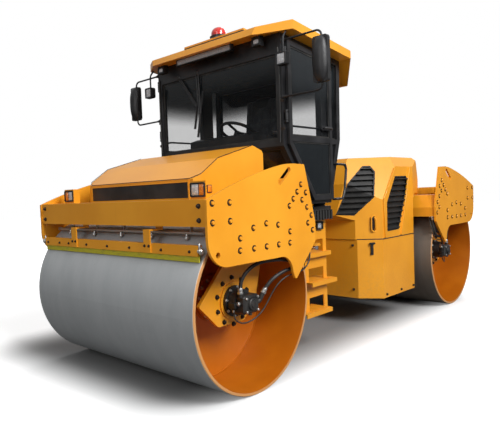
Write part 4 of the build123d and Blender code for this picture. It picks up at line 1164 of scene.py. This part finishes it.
seat_pad("seat_backrest_pad", "seat_backrest", (0.985, 0, 0.17), cloth, 0.012, [
    (1, 0.140, 0.007, 0.007), (1, -0.140, 0.007, 0.007), (2, 2.150, 0.005, 0.007), (2, 2.350, 0.005, 0.007),
])

put("seat_bellows", join(*[
    picture_frame(rectangle(0.121, 0.207, 0.03), rectangle(0.110, 0.196, 0.03), z, z + 0.012,
                  (AHEAD, LEFT, UP), (0.648, 0, 0))
    for z in np.arange(1.60, 1.86, 0.024)
]), vinyl, bevel=0.003)
arms = []
for side in (1, -1):
    arms.append(tube(rounded_path([(0.470, side * 0.262, 2.13), (0.560, side * 0.275, 2.16),
                                   (0.740, side * 0.275, 2.17)], 0.04), 0.027, 14))
    arms.append(turned((0.472, side * 0.240, 2.13), (0, side, 0), [
        (0, 0.026), (0.030, 0.026), (0.034, 0.020),
    ], 18))
put("seat_armrests", join(*arms), vinyl)
put("seat_headrest", dome(0.130, 0.075, 0.055, ((0, 1, 0), (-0.16, 0, 0.987), (0.987, 0, 0.16)),
                          (0.478, 0, 2.530)), vinyl)
put("seat_levers", join(
    tube(rounded_path([
        (0.900, 0.10, 1.868), (0.960, 0.10, 1.872), (0.960, -0.10, 1.872), (0.900, -0.10, 1.868),
    ], 0.02), 0.007, 10),
    tube([(0.620, 0.205, 1.74), (0.700, 0.240, 1.76)], 0.006, 8),
    turned((0.700, 0.240, 1.76), (0.05, 0.02, 0.0), [
        (-0.012, 0.008), (0.0, 0.016), (0.012, 0.015), (0.024, 0.006),
    ], 16),
), black)
put("seat_belt", join(
    tube([(0.560, 0.215, 1.90), (0.565, 0.270, 1.92), (0.560, 0.262, 1.99)], 0.009, 8),
    box(0.552, 0.572, 0.255, 0.275, 1.98, 2.05),
), black)


# ---- Console, wheel and pedals ----
# Black console with a tilted display and rocker switches; a three-spoke wheel with a knob; a
# travel lever with its boot on the right, and two treadle pedals on the floor.
dress(vinyl, "steering_wheel")
display, place, feed = finish("display_face", Coat_Weight=0.6, Coat_Roughness=0.05)
x, y, z = place.parts()
lines = y.wave(160)
glow = place.noise(25, 3)
feed(
    Base_Color=glow.blend((0.010, 0.016, 0.022), (0.030, 0.045, 0.055)),
    Roughness=0.14 + 0.1 * glow,
    Normal=lines.bump(0.05, 0.0005),
)
put("console_frame", picture_frame(
    rectangle(0.110, 0.032, 0.006), rectangle(0.098, 0.024, 0.004), -0.004, 0.010, (LEFT, UP, (-1, 0, 0)),
    (1.010, 0.26, 2.080),
), vinyl, bevel=0.0015)
put("console_display", crowned(0.096, 0.022, 0.002, AFT, (1.009, 0.26, 2.080)), display)
switches = []
for y in np.arange(-0.36, -0.06, 0.036):
    switches.append(box(1.000, 1.012, y - 0.011, y + 0.011, 2.064, 2.098))
    switches.append(box(0.996, 1.001, y - 0.008, y + 0.008, 2.082, 2.094))
put("console_switches", join(*switches), vinyl, bevel=0.0015)
put("travel_lever", join(
    tube([(0.820, -0.33, 1.90), (0.840, -0.33, 2.10)], 0.008, 10),
    turned((0.842, -0.33, 2.12), (0.1, 0, 1), [
        (-0.040, 0.010), (-0.030, 0.017), (0.0, 0.020), (0.022, 0.018), (0.030, 0.008),
    ], 18),
    box(0.640, 0.900, -0.375, -0.285, 1.860, 1.905),
    box(0.680, 0.860, -0.350, -0.310, 1.530, 1.862),
), black, bevel=0.003)
PEDAL = [(1.060, 1.500), (1.130, 1.560), (1.122, 1.570), (1.052, 1.510)]
put("pedals", join(*[prism(PEDAL, y - 0.04, y + 0.04, SIDE_ON) for y in (-0.13, 0.13)]), rubber, bevel=0.002)


# ---- Rear body, hood and engine ----
# Painted tub and hood with a black toggle latch and a hand recess, raised pull strips on the
# side, black louvre grilles, and an engine with a belt drive, two filters and head bolts.
grille_black = mottled(
    "grille_black", (0.014, 0.014, 0.014), (0.075, 0.068, 0.058), (6, 5, 0.7), (180, 3), (0.45, 0.8),
    rough=(0.52, 0.2), relief=(0.2, 0.0008), share=0.5, Specular_IOR_Level=0.4)
dress(grille_black, "engine_grilles")

SLANT = np.array([0.500, 0.863, 0.0])           # outward across the tub's front corner
CORNER_FACE = (np.cross(UP, SLANT), UP, SLANT)
latch_at = np.array([-0.318, 0.819, 0.885])
put("hood_latch", both(*[
    prism(rectangle(*size, 0.004), low, high, CORNER_FACE, latch_at + (0, 0, lift))
    for size, low, high, lift in (
        ((0.014, 0.062), -0.002, 0.014, 0), ((0.032, 0.010), 0.006, 0.024, 0.056),
        ((0.018, 0.012), -0.002, 0.010, -0.062),
    )
]), black, "rear_frame")
recess_at, RECESS = np.array([-0.338, 0.8475, 1.160]), rectangle(0.034, 0.082, 0.020)
put("hood_handle", both(prism(RECESS, -0.002, 0.0015, CORNER_FACE, recess_at)), moulded, "engine_hood")
handle_line = [recess_at + out * SLANT + (0, 0, lift) for out, lift in (
    (0.003, 0.064), (0.026, 0.052), (0.026, -0.052), (0.003, -0.064),
)]
put("hood_handle_bow", both(
    picture_frame(rectangle(0.044, 0.094, 0.024), RECESS, -0.002, 0.008, CORNER_FACE, recess_at),
    tube(rounded_path(handle_line, 0.012), 0.009, 12),
), paint, "engine_hood")
put("hood_seal", both(tube([
    (-0.2335, 0.300, 0.9860), (-0.2335, 0.6955, 0.9860), (-0.3885, 0.9205, 0.9860), (-1.1920, 0.9205, 0.9860),
], 0.0055, 8)), rubber, "rear_frame")
strips = []
for top, foot in (((-0.695, 1.768), (-0.4065, 1.423)), ((-0.4065, 1.423), (-0.431, 1.000)),
                  ((-1.095, 1.786), (-0.834, 1.000))):
    way = np.subtract(foot, top) / math.dist(foot, top)
    wide = np.array([way[1], -way[0]]) * 0.011
    strips.append(prism([top + wide, top - wide, foot - wide, foot + wide], 0.917, 0.936, SIDE_ON))
put("hood_ridges", both(*strips), paint, "engine_hood", bevel=0.003)
put("tub_bolts", both(
    *[bolt((x, 0.920, 0.360), LEFT, 0.020) for x in (-0.45, -0.82, -1.15)],
    *[bolt((-0.231, 0.640, z), AHEAD, 0.020) for z in (0.42, 0.92)],
), dark_bolt, "rear_frame")

engine_parts = [
    turned((-0.520, 0.0, 0.72), AHEAD, [
        (-0.001, 0.115), (0.016, 0.120), (0.020, 0.105), (0.034, 0.120), (0.042, 0.118), (0.043, 0.040),
        (0.050, 0.035),
    ], 40),
]
for centre, radius, groove in (((-0.520, 0.20, 1.02), 0.055, 0.048), ((-0.520, -0.18, 0.98), 0.045, 0.040)):
    engine_parts.append(turned(centre, AHEAD, [
        (-0.001, radius), (0.012, radius + 0.005), (0.022, groove), (0.034, radius + 0.005),
        (0.040, radius + 0.003),
    ], 30))
for row in range(6):
    for y in (0.300, -0.300):
        engine_parts.append(bolt((-1.00 + 0.08 * row, y, 1.40), UP, 0.024))
for z in (0.62, 0.84):
    engine_parts.append(turned((-0.72, 0.380, z), LEFT, [
        (-0.001, 0.058), (0.10, 0.058), (0.118, 0.050), (0.125, 0.030),
    ], 28))
put("engine_accessories", join(*engine_parts), casting, "rear_frame")
put("engine_belt", join(tube([
    (-0.498, y, z) for y, z in (
        (0.118, 0.72), (0.110, 0.66), (0.0, 0.603), (-0.10, 0.66), (-0.119, 0.75), (-0.230, 0.97),
        (-0.18, 1.028), (0.19, 1.078), (0.252, 1.03), (0.120, 0.74),
    )
], 0.006, 8)), rubber, "rear_frame")
